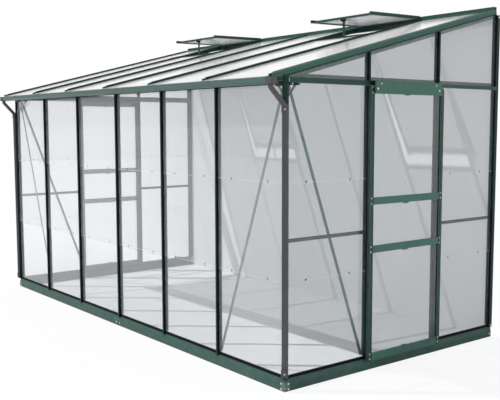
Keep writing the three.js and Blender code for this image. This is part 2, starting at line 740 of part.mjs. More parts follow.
// Swept tube with a mitre at each bend. The path lies in one upright plane.
function mitredTube(path, width, depth) {
  const across = new THREE.Vector3().subVectors(path[2], path[1]).cross(Z).normalize();
  const runs = path.slice(1).map((point, i) => new THREE.Vector3().subVectors(point, path[i]).normalize());
  const positions = [];
  path.forEach((point, i) => {
    const before = runs[Math.max(i - 1, 0)];
    const after = runs[Math.min(i, runs.length - 1)];
    const plane = new THREE.Vector3().addVectors(before, after).normalize();
    const side = new THREE.Vector3().crossVectors(plane, across);
    const stretch = 1 / plane.dot(before);
    for (let k = 0; k < ROUND_SIDES; k += 1) {
      const angle = (2 * Math.PI * (k + 0.5)) / ROUND_SIDES;
      const corner = point.clone();
      corner.addScaledVector(across, (width / 2) * Math.cos(angle));
      corner.addScaledVector(side, (depth / 2) * stretch * Math.sin(angle));
      positions.push(...corner);
    }
  });
  const index = [];
  const last = (path.length - 1) * ROUND_SIDES;
  for (let k = 0; k < ROUND_SIDES; k += 1) {
    const next = (k + 1) % ROUND_SIDES;
    for (let ring = 0; ring < last; ring += ROUND_SIDES) {
      const [a, b] = [ring + k, ring + next];
      const [c, d] = [a + ROUND_SIDES, b + ROUND_SIDES];
      index.push(a, b, d, a, d, c);
    }
    if (k > 0 && next > 0) {
      index.push(0, next, k, last, last + k, last + next);
    }
  }
  const geometry = new THREE.BufferGeometry();
  geometry.setAttribute('position', new THREE.Float32BufferAttribute(positions, 3));
  geometry.setIndex(index);
  return toSolid(geometry);
}

// Block on the corner post's chamfer, drawn in (along the chamfer, out from it)
const DIAGONAL = new THREE.Vector3(1, -1, 0).normalize();
const CHAMFER_OUT = (2 * EDGE - POST_CHAMFER) / Math.SQRT2 + GAP;

function chamferBlock(halfWidth, depth, edge, low, high) {
  const outline = [
    [-halfWidth, CHAMFER_OUT],
    [halfWidth, CHAMFER_OUT],
    [halfWidth, CHAMFER_OUT + depth - edge],
    [halfWidth - edge, CHAMFER_OUT + depth],
    [edge - halfWidth, CHAMFER_OUT + depth],
    [-halfWidth, CHAMFER_OUT + depth - edge],
  ];
  const along = new THREE.Vector3().crossVectors(DIAGONAL, Z);
  return bar(outline, high - low, [CORNER_X, 0, low], along, DIAGONAL);
}

function outlet() {
  const start = CORNER_X + GAP;
  const end = start + OUTLET_LENGTH;
  const wall = OUTLET_WALL;
  const low = GUTTER_Z;
  const top = GUTTER_TOP + wall;
  const cup = block([start, -FRONT_REACH, low], [end, wall - GUTTER_BACK, top]);
  const high = top + wall;
  const inside = block([start - wall, wall - FRONT_REACH, low + wall], [end - wall, -GUTTER_BACK, high]);
  const overBack = block([start - wall, -GUTTER_BACK - wall, EAVES_Z], [end + wall, OVERRUN, high]);
  return cut(cup, inside, overBack);
}

// The swan-neck runs from under the outlet to the pipe's centre line, clear of the post
function swanNeck() {
  const mouthX = CORNER_X + GAP + NECK_WIDTH / 2;
  const mouthY = -(GUTTER_BACK + GUTTER_OUT) / 2;
  const reach = (CHAMFER_OUT + PIPE_DEPTH / 2) / Math.SQRT2;
  const neck = mitredTube([
    new THREE.Vector3(mouthX, mouthY, GUTTER_Z + OUTLET_WALL / 2),
    new THREE.Vector3(mouthX, mouthY, NECK_TOP),
    new THREE.Vector3(CORNER_X + reach, -reach, NECK_FOOT),
    new THREE.Vector3(CORNER_X + reach, -reach, COLLAR_Z + COLLAR_HEIGHT / 2),
  ], NECK_WIDTH, NECK_DEPTH);
  const face = EDGE + GAP;
  const chamfer = EDGE - POST_CHAMFER + GAP;
  const far = -2 * EDGE;
  const room = [[far, far], [face, far], [face, chamfer], [chamfer, face], [far, face]];
  const height = GUTTER_Z - COLLAR_Z;
  return cut(neck, prism(room, height, [CORNER_X, 0, COLLAR_Z], back(Y), X));
}

function downpipe() {
  const half = PIPE_WIDTH / 2;
  const clipHalf = half + CLIP_PROUD;
  const clipDepth = PIPE_DEPTH + CLIP_PROUD;
  const pipe = chamferBlock(half, PIPE_DEPTH, PIPE_EDGE, PIPE_FOOT, COLLAR_Z + LAPPED);
  const collar = chamferBlock(clipHalf, clipDepth, PIPE_EDGE, COLLAR_Z, COLLAR_Z + COLLAR_HEIGHT);
  const clip = chamferBlock(clipHalf, clipDepth, PIPE_EDGE, PIPE_FOOT + LAPPED, PIPE_FOOT + FOOT_CLIP);
  return join(outlet(), swanNeck(), pipe, collar, clip);
}

// The back of the track lies on the jambs' noses. The header carries the pane over the door, and a
// ledge joins it to a rail that runs behind the jambs, inside the glass.
function doorTrack() {
  const top = TRACK_TOP;
  const reach = TRACK_BACK + TRACK_REACH;
  const channel = sheet([
    [TRACK_BACK + TRACK_TOP_RIB, top],
    [TRACK_BACK, top],
    [TRACK_BACK, TRACK_Z],
    [reach, TRACK_Z],
    [reach, TRACK_Z + RUNNER_RIB],
  ], TRACK_WALL);
  const start = BAR_NOSE / 2 + GAP;
  const end = DOOR_BAR_BACK + BAR_FLANGE / 2;
  const run = bar(channel, end - start, [CORNER_X, end, 0], X, Z);
  const strip = sheet([
    [TRACK_BACK + WALL_BAR_RIB, top],
    [TRACK_BACK, top],
    [TRACK_BACK, top - WALL_BAR_HEIGHT],
    [TRACK_BACK + WALL_BAR_RIB, top - WALL_BAR_HEIGHT],
  ], TRACK_WALL);
  const wallEnd = WALL_LINE + EDGE - LIP_WALL;
  const wallBar = bar(strip, wallEnd - end + LAPPED, [CORNER_X, wallEnd, 0], X, Z);
  const side = BAR_NOSE / 2 + GAP;
  const header = block(
    [CORNER_X + GLASS_FACE, DOOR_BAR_FRONT + side, top - TRACK_WALL],
    [CORNER_X + TRACK_BACK + TRACK_WALL / 2, DOOR_BAR_BACK - side, top],
  );
  const inner = CORNER_X - BAR_IN - GAP;
  const flange = BAR_FLANGE / 2 + GAP;
  const ledge = block(
    [inner - TRACK_WALL, DOOR_BAR_FRONT + flange, top - TRACK_WALL],
    [CORNER_X + GLASS_FACE + LAPPED, DOOR_BAR_BACK - flange, top],
  );
  const innerRail = block(
    [inner - TRACK_WALL, EDGE + GAP, top - TRACK_WALL],
    [inner, WALL_LINE, top + INNER_RISE],
  );
  return join(run, wallBar, header, ledge, innerRail);
}

// Flat strip with round ends, from the head of the corner post to the foot of the next bar
function brace(first, origin, foot) {
  const angle = Math.atan2(BRACE_FOOT_Z - BRACE_HEAD_Z, foot - BRACE_HEAD_IN);
  const half = BRACE_WIDTH / 2;
  const turn = Math.PI / 2;
  const shape = new THREE.Shape();
  shape.absarc(BRACE_HEAD_IN, BRACE_HEAD_Z, half, angle + turn, angle + 3 * turn);
  shape.absarc(foot, BRACE_FOOT_Z, half, angle - turn, angle + turn);
  const outline = shape.getPoints(END_STEPS).map(({ x, y }) => [x, y]);
  return prism(outline, BRACE_WALL, origin, first, Z);
}

const frontBrace = () => brace(back(X), [CORNER_X, BAR_IN + GAP, 0], BAY);

function endBrace() {
  const foot = DOOR_BAR_FRONT - END_BRACE_SHORT;
  return brace(Y, [CORNER_X - BAR_IN - GAP - BRACE_WALL, 0, 0], foot);
}

// Section of lapped panes in (out, up): each pane's foot lies outside the head of the one below
function lappedSection(foot, top, tier) {
  const outer = [];
  const inner = [];
  for (let k = 0; k < TIERS; k += 1) {
    const low = k === 0 ? foot : foot + k * tier - LAP;
    const high = k === TIERS - 1 ? top : foot + (k + 1) * tier;
    const lean = k === 0 ? 0 : PANE;
    outer.push([GLASS_FACE + PANE + lean, low]);
    if (k < TIERS - 1) {
      const nextLow = foot + (k + 1) * tier - LAP;
      outer.push([GLASS_FACE + PANE + (lean * (high - nextLow)) / (high - low), nextLow]);
    } else {
      outer.push([GLASS_FACE + PANE, high]);
    }
    if (k > 0) {
      const overlapTop = low + LAP;
      inner.push([GLASS_FACE, overlapTop]);
      inner.push([GLASS_FACE + (lean * (high - overlapTop)) / (high - low), overlapTop]);
    }
  }
  return [[GLASS_FACE, foot], ...outer, [GLASS_FACE, top], ...inner.reverse()];
}

const PANE_FOOT = SILL_Z + GAP;
const PANE_INSET = BAR_NOSE / 2 + PANE_SIDE;

function frontPanes(leftX) {
  const section = lappedSection(PANE_FOOT, EAVES_Z - GAP, TIER);
  const right = leftX + BAY - PANE_INSET;
  return bar(section, BAY - 2 * PANE_INSET, [right, 0, 0], back(Y), Z);
}

function endPanes(fromY, toY) {
  const section = lappedSection(PANE_FOOT, ROOF_WALL_Z, TIER);
  const end = toY - PANE_INSET;
  const width = toY - fromY - 2 * PANE_INSET;
  return cut(bar(section, width, [CORNER_X, end, 0], X, Z), UNDER_RAFTERS);
}

function overDoorPane() {
  const foot = TRACK_TOP + GAP;
  const outline = rectangle(GLASS_FACE, foot, GLASS_FACE + PANE, ROOF_WALL_Z);
  const end = DOOR_BAR_BACK - PANE_INSET;
  const width = DOOR_BAR_BACK - DOOR_BAR_FRONT - 2 * PANE_INSET;
  return cut(bar(outline, width, [CORNER_X, end, 0], X, Z), UNDER_RAFTERS);
}

function roofPane(leftX, headY) {
  const outline = rectangle(PANE_INSET, GLASS_FACE, BAY - PANE_INSET, GLASS_FACE + PANE);
  const start = -RAFTER_OVERHANG - PANE_OVERHANG;
  const length = (headY - start) / Math.cos(SLOPE);
  const left = rafterPoint(leftX, start + length * Math.cos(SLOPE));
  return bar(outline, length, left, X, ROOF_OUT);
}

// The door's pieces are drawn in (out from the end bars' centre line, up) or (across, out)
function stile(outerY, inward) {
  const slotIn = PANE_SET_OUT - GAP;
  const slotOut = PANE_SET_OUT + PANE + GAP;
  const slot = STILE_WIDTH - REBATE;
  const outline = [
    [0, 0],
    [STILE_WIDTH, 0],
    [STILE_WIDTH, slotIn],
    [slot, slotIn],
    [slot, slotOut],
    [STILE_WIDTH, slotOut],
    [STILE_WIDTH, STILE_DEPTH],
    [GROOVE_SET_IN + STILE_GROOVE, STILE_DEPTH],
    [GROOVE_SET_IN + STILE_GROOVE, STILE_DEPTH - GROOVE_DEPTH],
    [GROOVE_SET_IN, STILE_DEPTH - GROOVE_DEPTH],
    [GROOVE_SET_IN, STILE_DEPTH],
    [0, STILE_DEPTH],
  ].map(([across, out]) => [across * inward, out]);
  const height = STILE_TOP - DOOR_FOOT;
  const origin = [CORNER_X + DOOR_IN, outerY, DOOR_FOOT + height];
  return bar(outline, height, origin, Y, X);
}

function doorRail(low, height) {
  const face = DOOR_OUT + RAIL_PROUD;
  const rear = DOOR_IN + PANE_SET_OUT + PANE + 2 * GAP;
  const high = low + height;
  const skin = [[rear, low], [face, low], [face, high], [rear, high]];
  const half = DOOR_WIDTH / 2 - STILE_WIDTH + LAPPED;
  return bar(sheet(skin, RAIL_WALL), 2 * half, [CORNER_X, DOOR_MID + half, 0], X, Z);
}

function doorFrame() {
  const half = DOOR_WIDTH / 2;
  const stiles = [stile(DOOR_MID - half, 1), stile(DOOR_MID + half, -1)];
  const rails = [
    doorRail(UPPER_RAIL, RAIL_HEIGHT),
    doorRail(LOWER_RAIL, RAIL_HEIGHT),
    doorRail(DOOR_FOOT, FOOT_BOARD),
  ];
  const innerHalf = half - STILE_WIDTH + LAPPED;
  const x0 = CORNER_X + DOOR_IN;
  const ledge = block(
    [x0, DOOR_MID - innerHalf, DOOR_FOOT],
    [CORNER_X + DOOR_OUT, DOOR_MID + innerHalf, DOOR_FOOT + RAIL_WALL],
  );
  const head = block(
    [x0 + PANE_SET_OUT + PANE + 2 * GAP, DOOR_MID - innerHalf, STILE_TOP - HEAD_RAIL],
    [CORNER_X + DOOR_OUT, DOOR_MID + innerHalf, STILE_TOP],
  );
  const face = DOOR_OUT - RAIL_PROUD / 2 + BOARD_REACH;
  const rear = DOOR_OUT - RAIL_PROUD / 2;
  const boardSkin = [[rear, BOARD_Z], [face, BOARD_Z], [face, BOARD_TOP], [rear, BOARD_TOP]];
  const boardHalf = half - BOARD_SET_IN;
  const boardOrigin = [CORNER_X, DOOR_MID + boardHalf, 0];
  const board = bar(sheet(boardSkin, BOARD_WALL), 2 * boardHalf, boardOrigin, X, Z);
  const axleStart = CORNER_X + RUNNER - ROLLER_WIDTH / 2 - AXLE_CLEAR;
  const axleLength = CORNER_X + face - BOARD_WALL / 2 - axleStart;
  const axles = [-AXLE_SPREAD, AXLE_SPREAD].map(
    (shift) => rod(AXLE_R, axleLength, [axleStart, DOOR_MID + shift, AXLE_Z], X),
  );
  const slopeRun = (EDGE - SILL_OUT) * ((DOOR_FOOT - BASE_FACE) / (SILL_Z - BASE_FACE));
  const glideX = CORNER_X + EDGE - slopeRun + GLIDE_CLEAR;
  const glides = [-half, half - GLIDE_WIDTH].map((start) => block(
    [glideX, DOOR_MID + start, DOOR_FOOT],
    [x0 + LAPPED, DOOR_MID + start + GLIDE_WIDTH, DOOR_FOOT + GLIDE_HEIGHT],
  ));
  return join(...stiles, ...rails, ledge, head, board, ...axles, ...glides);
}

function doorPane() {
  const half = DOOR_WIDTH / 2 - STILE_WIDTH + REBATE - GAP;
  const x = CORNER_X + DOOR_IN + PANE_SET_OUT;
  const foot = DOOR_FOOT + RAIL_WALL + GAP;
  return block([x, DOOR_MID - half, foot], [x + PANE, DOOR_MID + half, STILE_TOP]);
}

function roller(y) {
  const bore = AXLE_R + AXLE_CLEAR;
  const half = ROLLER_WIDTH / 2;
  const groove = ROLLER_GROOVE / 2;
  const profile = [
    [bore, -half],
    [ROLLER_R, -half],
    [ROLLER_R, -groove],
    [ROLLER_ROOT_R, -groove],
    [ROLLER_ROOT_R, groove],
    [ROLLER_R, groove],
    [ROLLER_R, half],
    [bore, half],
    [bore, -half],
  ].map(([radius, along]) => new THREE.Vector2(radius, along));
  const geometry = new THREE.LatheGeometry(profile, ROUND_SIDES);
  const turn = new THREE.Quaternion().setFromUnitVectors(Y, X);
  geometry.applyQuaternion(turn).translate(CORNER_X + RUNNER, y, AXLE_Z);
  return toSolid(geometry);
}

// The vent is drawn in its own frame: q runs from the hinge to the free edge, n stands off its face
const VENT_FREE = new THREE.Vector3(0, -Math.cos(VENT_REST), Math.sin(VENT_REST));
const VENT_OUT = new THREE.Vector3(0, Math.sin(VENT_REST), Math.cos(VENT_REST));

function ventPoint(x, q, n) {
  const point = new THREE.Vector3(x, VENT_AXIS_Y, VENT_AXIS_Z);
  return point.addScaledVector(VENT_FREE, q).addScaledVector(VENT_OUT, n);
}

function stayPivot() {
  return ventPoint(VENT_MID, VENT_LENGTH - STAY_SET_BACK, -BEAD_R - STAY_DROP);
}

function ventFrame() {
  const under = -BEAD_R;
  const half = BAY / 2;
  const seat = under + VENT_LEDGE_WALL;
  const top = under + VENT_SIDE_HEIGHT;
  const sideLength = VENT_LENGTH + VENT_SIDE_OVERHANG - VENT_SIDE_START;
  const sides = [-1, 1].map((side) => {
    const outline = [
      [half - VENT_SIDE - VENT_LEDGE, under],
      [half, under],
      [half, top],
      [half - VENT_SIDE, top],
      [half - VENT_SIDE, seat],
      [half - VENT_SIDE - VENT_LEDGE, seat],
    ].map(([across, up]) => [across * side, up]);
    return bar(outline, sideLength, ventPoint(VENT_MID, VENT_SIDE_START, 0), X, VENT_OUT);
  });
  const length = BAY - 2 * VENT_SIDE + 2 * LAPPED;
  const right = ventPoint(VENT_MID + length / 2, 0, 0);
  const frontEdge = VENT_LENGTH - VENT_FRONT;
  const frontTop = under + VENT_FRONT_HEIGHT;
  const front = bar([
    [frontEdge - VENT_LEDGE, under],
    [VENT_LENGTH, under],
    [VENT_LENGTH, frontTop],
    [frontEdge, frontTop],
    [frontEdge, seat],
    [frontEdge - VENT_LEDGE, seat],
  ], length, right, VENT_FREE, VENT_OUT);
  const headTop = seat + PANE + 2 * GAP;
  const head = bar([
    [0, under],
    [VENT_HEAD + VENT_LEDGE, under],
    [VENT_HEAD + VENT_LEDGE, seat],
    [VENT_HEAD, seat],
    [VENT_HEAD, headTop],
    [BEAD_R, headTop],
    [0, BEAD_R],
  ], length, right, VENT_FREE, VENT_OUT);
  const bead = rod(BEAD_R, length, ventPoint(VENT_MID - length / 2, 0, 0), X);
  const pivotQ = VENT_LENGTH - STAY_SET_BACK;
  const earLow = under - STAY_DROP - EAR_HALF;
  const earOutline = rectangle(pivotQ - EAR_HALF, earLow, frontEdge + LAPPED, under + EAR_TOP);
  const earInner = STAY_WIDTH / 2 + GAP;
  const ears = [-earInner, earInner + EAR_WALL].map(
    (right) => bar(earOutline, EAR_WALL, ventPoint(VENT_MID + right, 0, 0), VENT_FREE, VENT_OUT),
  );
  const pinHalf = earInner + EAR_WALL / 2;
  const pin = rod(PIN_R, 2 * pinHalf, ventPoint(VENT_MID - pinHalf, pivotQ, under - STAY_DROP), X);
  return join(...sides, front, head, bead, ...ears, pin);
}

function ventPane() {
  const half = BAY / 2 - VENT_SIDE - GAP;
  const seat = VENT_LEDGE_WALL - BEAD_R + GAP;
  const start = VENT_HEAD + GAP;
  const length = VENT_LENGTH - VENT_FRONT - GAP - start;
  const outline = rectangle(-half, seat, half, seat + PANE);
  return bar(outline, length, ventPoint(VENT_MID, start, 0), X, VENT_OUT);
}

function ventStay() {
  const pivot = stayPivot();
  const half = STAY_WIDTH / 2;
  const eye = rod(EYE_R, STAY_WIDTH, [pivot.x - half, pivot.y, pivot.z], X, ROUND_SIDES);
  const foot = pegZ() - STAY_END;
  const strap = block(
    [pivot.x - half, pivot.y - STAY_WALL / 2, foot],
    [pivot.x + half, pivot.y + STAY_WALL / 2, pivot.z],
  );
  const bore = rod(PIN_R + EYE_CLEAR, 2 * STAY_WIDTH, [pivot.x - STAY_WIDTH, pivot.y, pivot.z], X);
  const holes = [];
  for (let k = 0; k < STAY_HOLES; k += 1) {
    const z = foot + STAY_END + k * STAY_HOLE_PITCH;
    holes.push(rod(STAY_HOLE_R, 2 * EYE_R, [pivot.x, pivot.y - EYE_R, z], Y));
  }
  return cut(join(eye, strap), bore, ...holes);
}

const POWDER_COAT = { color: 0x2f5348, roughness: 0.42, metalness: 0.35 };
const GLASS = { color: 0xdfe6e6, roughness: 0.06, metalness: 0, transparent: true, opacity: 0.35 };
const RAIN_PLASTIC = { color: 0x4a4a4b, roughness: 0.55, metalness: 0 };
const NYLON = { color: 0x8d8f8f, roughness: 0.5, metalness: 0 };

const greenhouse = new THREE.Group();
greenhouse.name = 'lean_to_greenhouse';
greenhouse.position.y = (FRONT_REACH - WALL_Y) / 2;

function add(name, geometry, finish) {
  const mesh = new THREE.Mesh(geometry, new THREE.MeshStandardMaterial(finish));
  mesh.name = name;
  greenhouse.add(mesh);
}

// A piece at the right end or on the right half, and its mirror copy on the left
function addPair(name, solid, finish) {
  const geometry = toGeometry(solid);
  add(`${name}_right`, geometry, finish);
  add(`${name}_left`, mirrored(geometry), finish);
}

add('base_front', toGeometry(frontBase()), POWDER_COAT);
addPair('base_end', endBase(), POWDER_COAT);
addPair('corner_post', cornerPost(), POWDER_COAT);
for (let k = 1 - HALF_BAYS; k < HALF_BAYS; k += 1) {
  add(`front_bar_${k + HALF_BAYS}`, toGeometry(frontBar(k * BAY)), POWDER_COAT);
}
add('eaves_gutter', toGeometry(eavesGutter()), POWDER_COAT);
addPair('downpipe', downpipe(), RAIN_PLASTIC);
add('wall_plate_and_rafters', toGeometry(roofFrame()), POWDER_COAT);
addPair('gable_rafter', gableRafter(), POWDER_COAT);
addPair('wall_post', wallPost(), POWDER_COAT);
addPair('jamb_front', frontJamb(), POWDER_COAT);
addPair('jamb_back', backJamb(), POWDER_COAT);
addPair('door_track', doorTrack(), POWDER_COAT);
addPair('front_brace', frontBrace(), POWDER_COAT);
addPair('end_brace', endBrace(), POWDER_COAT);
addPair('door_frame', doorFrame(), POWDER_COAT);
addPair('door_roller_front', roller(DOOR_MID - AXLE_SPREAD), NYLON);
addPair('door_roller_back', roller(DOOR_MID + AXLE_SPREAD), NYLON);
addPair('vent_frame', ventFrame(), POWDER_COAT);
addPair('vent_stay', ventStay(), POWDER_COAT);
for (let k = 0; k < 2 * HALF_BAYS; k += 1) {
  add(`front_panes_${k + 1}`, toGeometry(frontPanes((k - HALF_BAYS) * BAY)), GLASS);
}
const overSill = SILL_Y + (SILL_LEDGE - GAP) * Math.cos(SLOPE);
for (let k = 0; k < HALF_BAYS; k += 1) {
  const headY = k === VENT_BAY ? overSill : PLATE_Y - GAP;
  addPair(`roof_pane_${k + 1}`, roofPane(k * BAY, headY), GLASS);
}
addPair('corner_panes', endPanes(0, DOOR_BAR_FRONT), GLASS);
addPair('wall_panes', endPanes(DOOR_BAR_BACK, WALL_LINE), GLASS);
addPair('over_door_pane', overDoorPane(), GLASS);
addPair('door_pane', doorPane(), GLASS);
addPair('vent_pane', ventPane(), GLASS);

export default greenhouse;
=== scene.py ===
# The looks of the lean-to greenhouse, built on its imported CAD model. Metres, Z up, in the CAD's frame.

import math

import bmesh
import bpy
from mathutils import Matrix, Vector


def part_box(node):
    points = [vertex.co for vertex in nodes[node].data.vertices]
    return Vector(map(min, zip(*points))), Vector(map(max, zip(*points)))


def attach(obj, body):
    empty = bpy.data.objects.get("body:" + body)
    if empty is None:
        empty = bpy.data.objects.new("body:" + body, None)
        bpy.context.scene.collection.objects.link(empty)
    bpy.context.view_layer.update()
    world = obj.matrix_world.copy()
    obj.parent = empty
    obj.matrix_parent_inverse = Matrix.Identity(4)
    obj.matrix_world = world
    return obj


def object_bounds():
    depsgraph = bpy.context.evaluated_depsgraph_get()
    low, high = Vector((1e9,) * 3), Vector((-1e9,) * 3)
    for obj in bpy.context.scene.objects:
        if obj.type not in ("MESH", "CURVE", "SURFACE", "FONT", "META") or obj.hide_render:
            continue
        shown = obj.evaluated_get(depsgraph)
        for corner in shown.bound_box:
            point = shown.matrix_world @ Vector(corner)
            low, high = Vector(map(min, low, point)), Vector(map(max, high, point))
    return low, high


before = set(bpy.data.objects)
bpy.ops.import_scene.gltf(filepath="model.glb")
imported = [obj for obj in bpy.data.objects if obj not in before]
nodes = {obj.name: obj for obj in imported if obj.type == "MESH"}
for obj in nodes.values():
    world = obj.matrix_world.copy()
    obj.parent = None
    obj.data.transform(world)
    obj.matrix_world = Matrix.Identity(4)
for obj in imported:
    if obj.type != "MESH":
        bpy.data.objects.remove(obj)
cad_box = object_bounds()

# Sizes that repeat the CAD's, which is drawn with its front bars at Y = 0 and then moved by ROW_SHIFT

ROW_SHIFT = -0.87125
BAY = 0.63
CORNER_X = 3 * BAY
DOOR_BARS = (BAY, 2 * BAY)
WALL_LINE = 1.865  # middle of the wall posts' noses
FRONT_BAYS = range(-3, 3)
END_BAYS = ((0, DOOR_BARS[0]), (DOOR_BARS[1], WALL_LINE))  # the fixed bays of each end
ROOF_DEPTH = 1.885
ROOF_FRONT, ROOF_BACK = 1.790, 2.274  # heights of the rafters' noses at Y = 0 and over the wall
SLOPE = math.atan2(ROOF_BACK - ROOF_FRONT, ROOF_DEPTH)
PLATE_Y = 1.85
VENT_SILL_Y = 1.333
GABLE_FACE_X = 1.910
TRACK_TALL = 0.03
TRACK_WALL = 0.0025
STILE_HALF = 0.017

# How far faces stand out from the centre lines of the bars

NOSE_HALF = 0.006
BAR_OUT = 0.026
RAFTER_OUT = 0.016
GLASS_OUT = 0.0066
LAP_OUT = 0.0096
BASE_OUT = 0.02
ARM_OUT = 0.013
STILE_OUT = 0.05
DOOR_GLASS_OUT = 0.0433
BOARD_OUT = 0.06
GAP = 0.0003  # between a small piece and the face that it lies on


# Materials

def rgba(colour):
    """A link as it is, or a plain colour with its alpha."""
    return colour if isinstance(colour, bpy.types.NodeSocket) else (*colour, 1)


class Shader:
    """A node tree under construction."""

    def __init__(self, name):
        self.material = bpy.data.materials.new(name)
        self.material.use_nodes = True
        self.tree = self.material.node_tree
        self.tree.nodes.clear()
        self.output = self.add("ShaderNodeOutputMaterial")
        self.place = self.add("ShaderNodeTexCoord").outputs["Object"]

    def add(self, kind, **values):
        node = self.tree.nodes.new(kind)
        for key, value in values.items():
            setattr(node, key, value)
        return node

    def join(self, source, target):
        self.tree.links.new(source, target)

    def put(self, value, socket):
        """Links a socket's source to it, or sets a plain value."""
        if isinstance(value, bpy.types.NodeSocket):
            self.join(value, socket)
        else:
            socket.default_value = value

    def math(self, operation, first, second=0.0, clamp=False):
        node = self.add("ShaderNodeMath", operation=operation, use_clamp=clamp)
        self.put(first, node.inputs[0])
        self.put(second, node.inputs[1])
        return node.outputs[0]

    def noise(self, scale, detail=3.0, roughness=0.55, stretch=(1, 1, 1)):
        mapping = self.add("ShaderNodeMapping")
        mapping.inputs["Scale"].default_value = stretch
        self.join(self.place, mapping.inputs["Vector"])
        node = self.add("ShaderNodeTexNoise")
        self.join(mapping.outputs[0], node.inputs["Vector"])
        node.inputs["Scale"].default_value = scale
        node.inputs["Detail"].default_value = detail
        node.inputs["Roughness"].default_value = roughness
        return node.outputs["Fac"]

    def spread(self, value, low, high, to_low=0.0, to_high=1.0):
        """Maps low to high onto to_low to to_high, and keeps the result between them."""
        node = self.add("ShaderNodeMapRange")
        self.put(value, node.inputs["Value"])
        node.inputs["From Min"].default_value = low
        node.inputs["From Max"].default_value = high
        node.inputs["To Min"].default_value = to_low
        node.inputs["To Max"].default_value = to_high
        return node.outputs["Result"]

    def blend(self, share, first, second):
        node = self.add("ShaderNodeMix", data_type="RGBA")
        self.put(share, node.inputs["Factor"])
        colours = [s for s in node.inputs if s.type == "RGBA"]
        for value, socket in zip((first, second), colours):
            self.put(rgba(value), socket)
        return [s for s in node.outputs if s.type == "RGBA"][0]

    def along(self, axis):
        """The place on one axis of the frame."""
        split = self.add("ShaderNodeSeparateXYZ")
        self.join(self.place, split.inputs[0])
        return split.outputs[axis]

    def bump(self, value, strength, distance):
        node = self.add("ShaderNodeBump")
        node.inputs["Strength"].default_value = strength
        node.inputs["Distance"].default_value = distance
        self.join(value, node.inputs["Height"])
        return node.outputs[0]

    def principled(self, colour, roughness, normal=None, **plain):
        node = self.add("ShaderNodeBsdfPrincipled")
        self.put(rgba(colour), node.inputs["Base Color"])
        self.put(roughness, node.inputs["Roughness"])
        if normal is not None:
            self.join(normal, node.inputs["Normal"])
        for name, value in plain.items():
            node.inputs[name.replace("_", " ")].default_value = value
        return node

    def finish(self, socket):
        self.join(socket, self.output.inputs["Surface"])
        return self.material


DUST = (0.33, 0.34, 0.31)
FRAME_DUST_TOP = 0.16  # dust on the frame ends at this height
GLASS_DUST_TOP, GLASS_DUST_FULL = 0.35, 0.05  # and on the glass it grows from the first to the second
PEEL_GRAIN, MOULD_GRAIN, RUBBER_GRAIN, ZINC_GRAIN = 1400.0, 900.0, 700.0, 900.0


def paint(name, colour, gloss=0.42, shine=0.5, dusty=0.35, painted_shade=None, bays=None):
    """Powder coat: a fine orange peel, slow changes of tone, chalky wear, and dust near the ground.
    Painted shade, the argument after dusty, is a darker colour that stands in for shade, and the middle and
    reach along Y beyond which it takes over. Bays is the middle and reach, along X to either side, of more of
    that painted shade."""
    s = Shader(name)
    tone = s.spread(s.noise(1.7, 4), 0.3, 0.7)
    dark = tuple(c * 0.9 for c in colour)
    pale = tuple(min(1.0, c * 1.1 + 0.004) for c in colour)
    body = s.blend(tone, dark, pale)
    # Painted shade: away from the middle along Y, and in the bays, the paint takes the darker colour of shade
    if painted_shade:
        shade, middle, reach = painted_shade
        in_painted_shade = s.math("GREATER_THAN", s.math("ABSOLUTE", s.math("SUBTRACT", s.along("Y"), middle)), reach)
        if bays:
            bay_middle, bay_reach = bays
            from_bay = s.math("ABSOLUTE", s.math("SUBTRACT", s.math("ABSOLUTE", s.along("X")), bay_middle))
            in_painted_shade = s.math("MAXIMUM", in_painted_shade, s.math("LESS_THAN", from_bay, bay_reach))
        body = s.blend(in_painted_shade, body, shade)
    mottle = s.spread(s.noise(55, 5, 0.65), 0.42, 0.72)
    worn = tuple(c * 0.85 + 0.03 for c in colour)
    body = s.blend(s.math("MULTIPLY", mottle, 0.35), body, worn)
    low = s.spread(s.along("Z"), FRAME_DUST_TOP, 0.0)
    grime = s.math("MULTIPLY", low, s.spread(s.noise(16, 5, 0.7), 0.35, 0.75), clamp=True)
    body = s.blend(s.math("MULTIPLY", grime, dusty), body, DUST)
    rough = s.spread(s.noise(30, 4), 0.25, 0.75, gloss - 0.07, gloss + 0.1)
    peel = s.bump(s.noise(PEEL_GRAIN, 2), 0.12, 0.0004)
    return s.finish(s.principled(body, rough, peel, Specular_IOR_Level=shine).outputs[0])


def plastic(name, colour, roughness):
    """Moulded plastic with long scuffs."""
    s = Shader(name)
    tone = s.spread(s.noise(3, 4), 0.3, 0.7)
    body = s.blend(tone, tuple(c * 0.88 for c in colour), tuple(c * 1.12 for c in colour))
    scuff = s.spread(s.noise(70, 5, 0.7, (1, 1, 0.25)), 0.55, 0.8)
    body = s.blend(s.math("MULTIPLY", scuff, 0.3), body, tuple(min(1, c * 1.3 + 0.03) for c in colour))
    rough = s.spread(s.noise(24, 3), 0.25, 0.75, roughness - 0.06, roughness + 0.08)
    skin = s.bump(s.noise(MOULD_GRAIN, 3), 0.18, 0.0004)
    return s.finish(s.principled(body, rough, skin, Specular_IOR_Level=0.4).outputs[0])


def zinc(name, colour, roughness):
    """Galvanised steel with a faint spangle."""
    s = Shader(name)
    spangle = s.spread(s.noise(420, 2), 0.35, 0.65)
    body = s.blend(spangle, tuple(c * 0.86 for c in colour), colour)
    rough = s.spread(s.noise(200, 3), 0.3, 0.7, roughness - 0.08, roughness + 0.12)
    skin = s.bump(s.noise(ZINC_GRAIN, 2), 0.1, 0.0002)
    return s.finish(s.principled(body, rough, skin, Metallic=0.85).outputs[0])


def rubber(name, colour):
    """Matt rubber, a little greyer in patches."""
    s = Shader(name)
    tone = s.spread(s.noise(40, 4), 0.35, 0.7)
    body = s.blend(tone, colour, tuple(c * 1.8 + 0.001 for c in colour))
    rough = s.spread(s.noise(90, 3), 0.3, 0.7, 0.6, 0.8)
    skin = s.bump(s.noise(RUBBER_GRAIN, 3), 0.15, 0.0003)
    return s.finish(s.principled(body, rough, skin, Specular_IOR_Level=0.12).outputs[0])


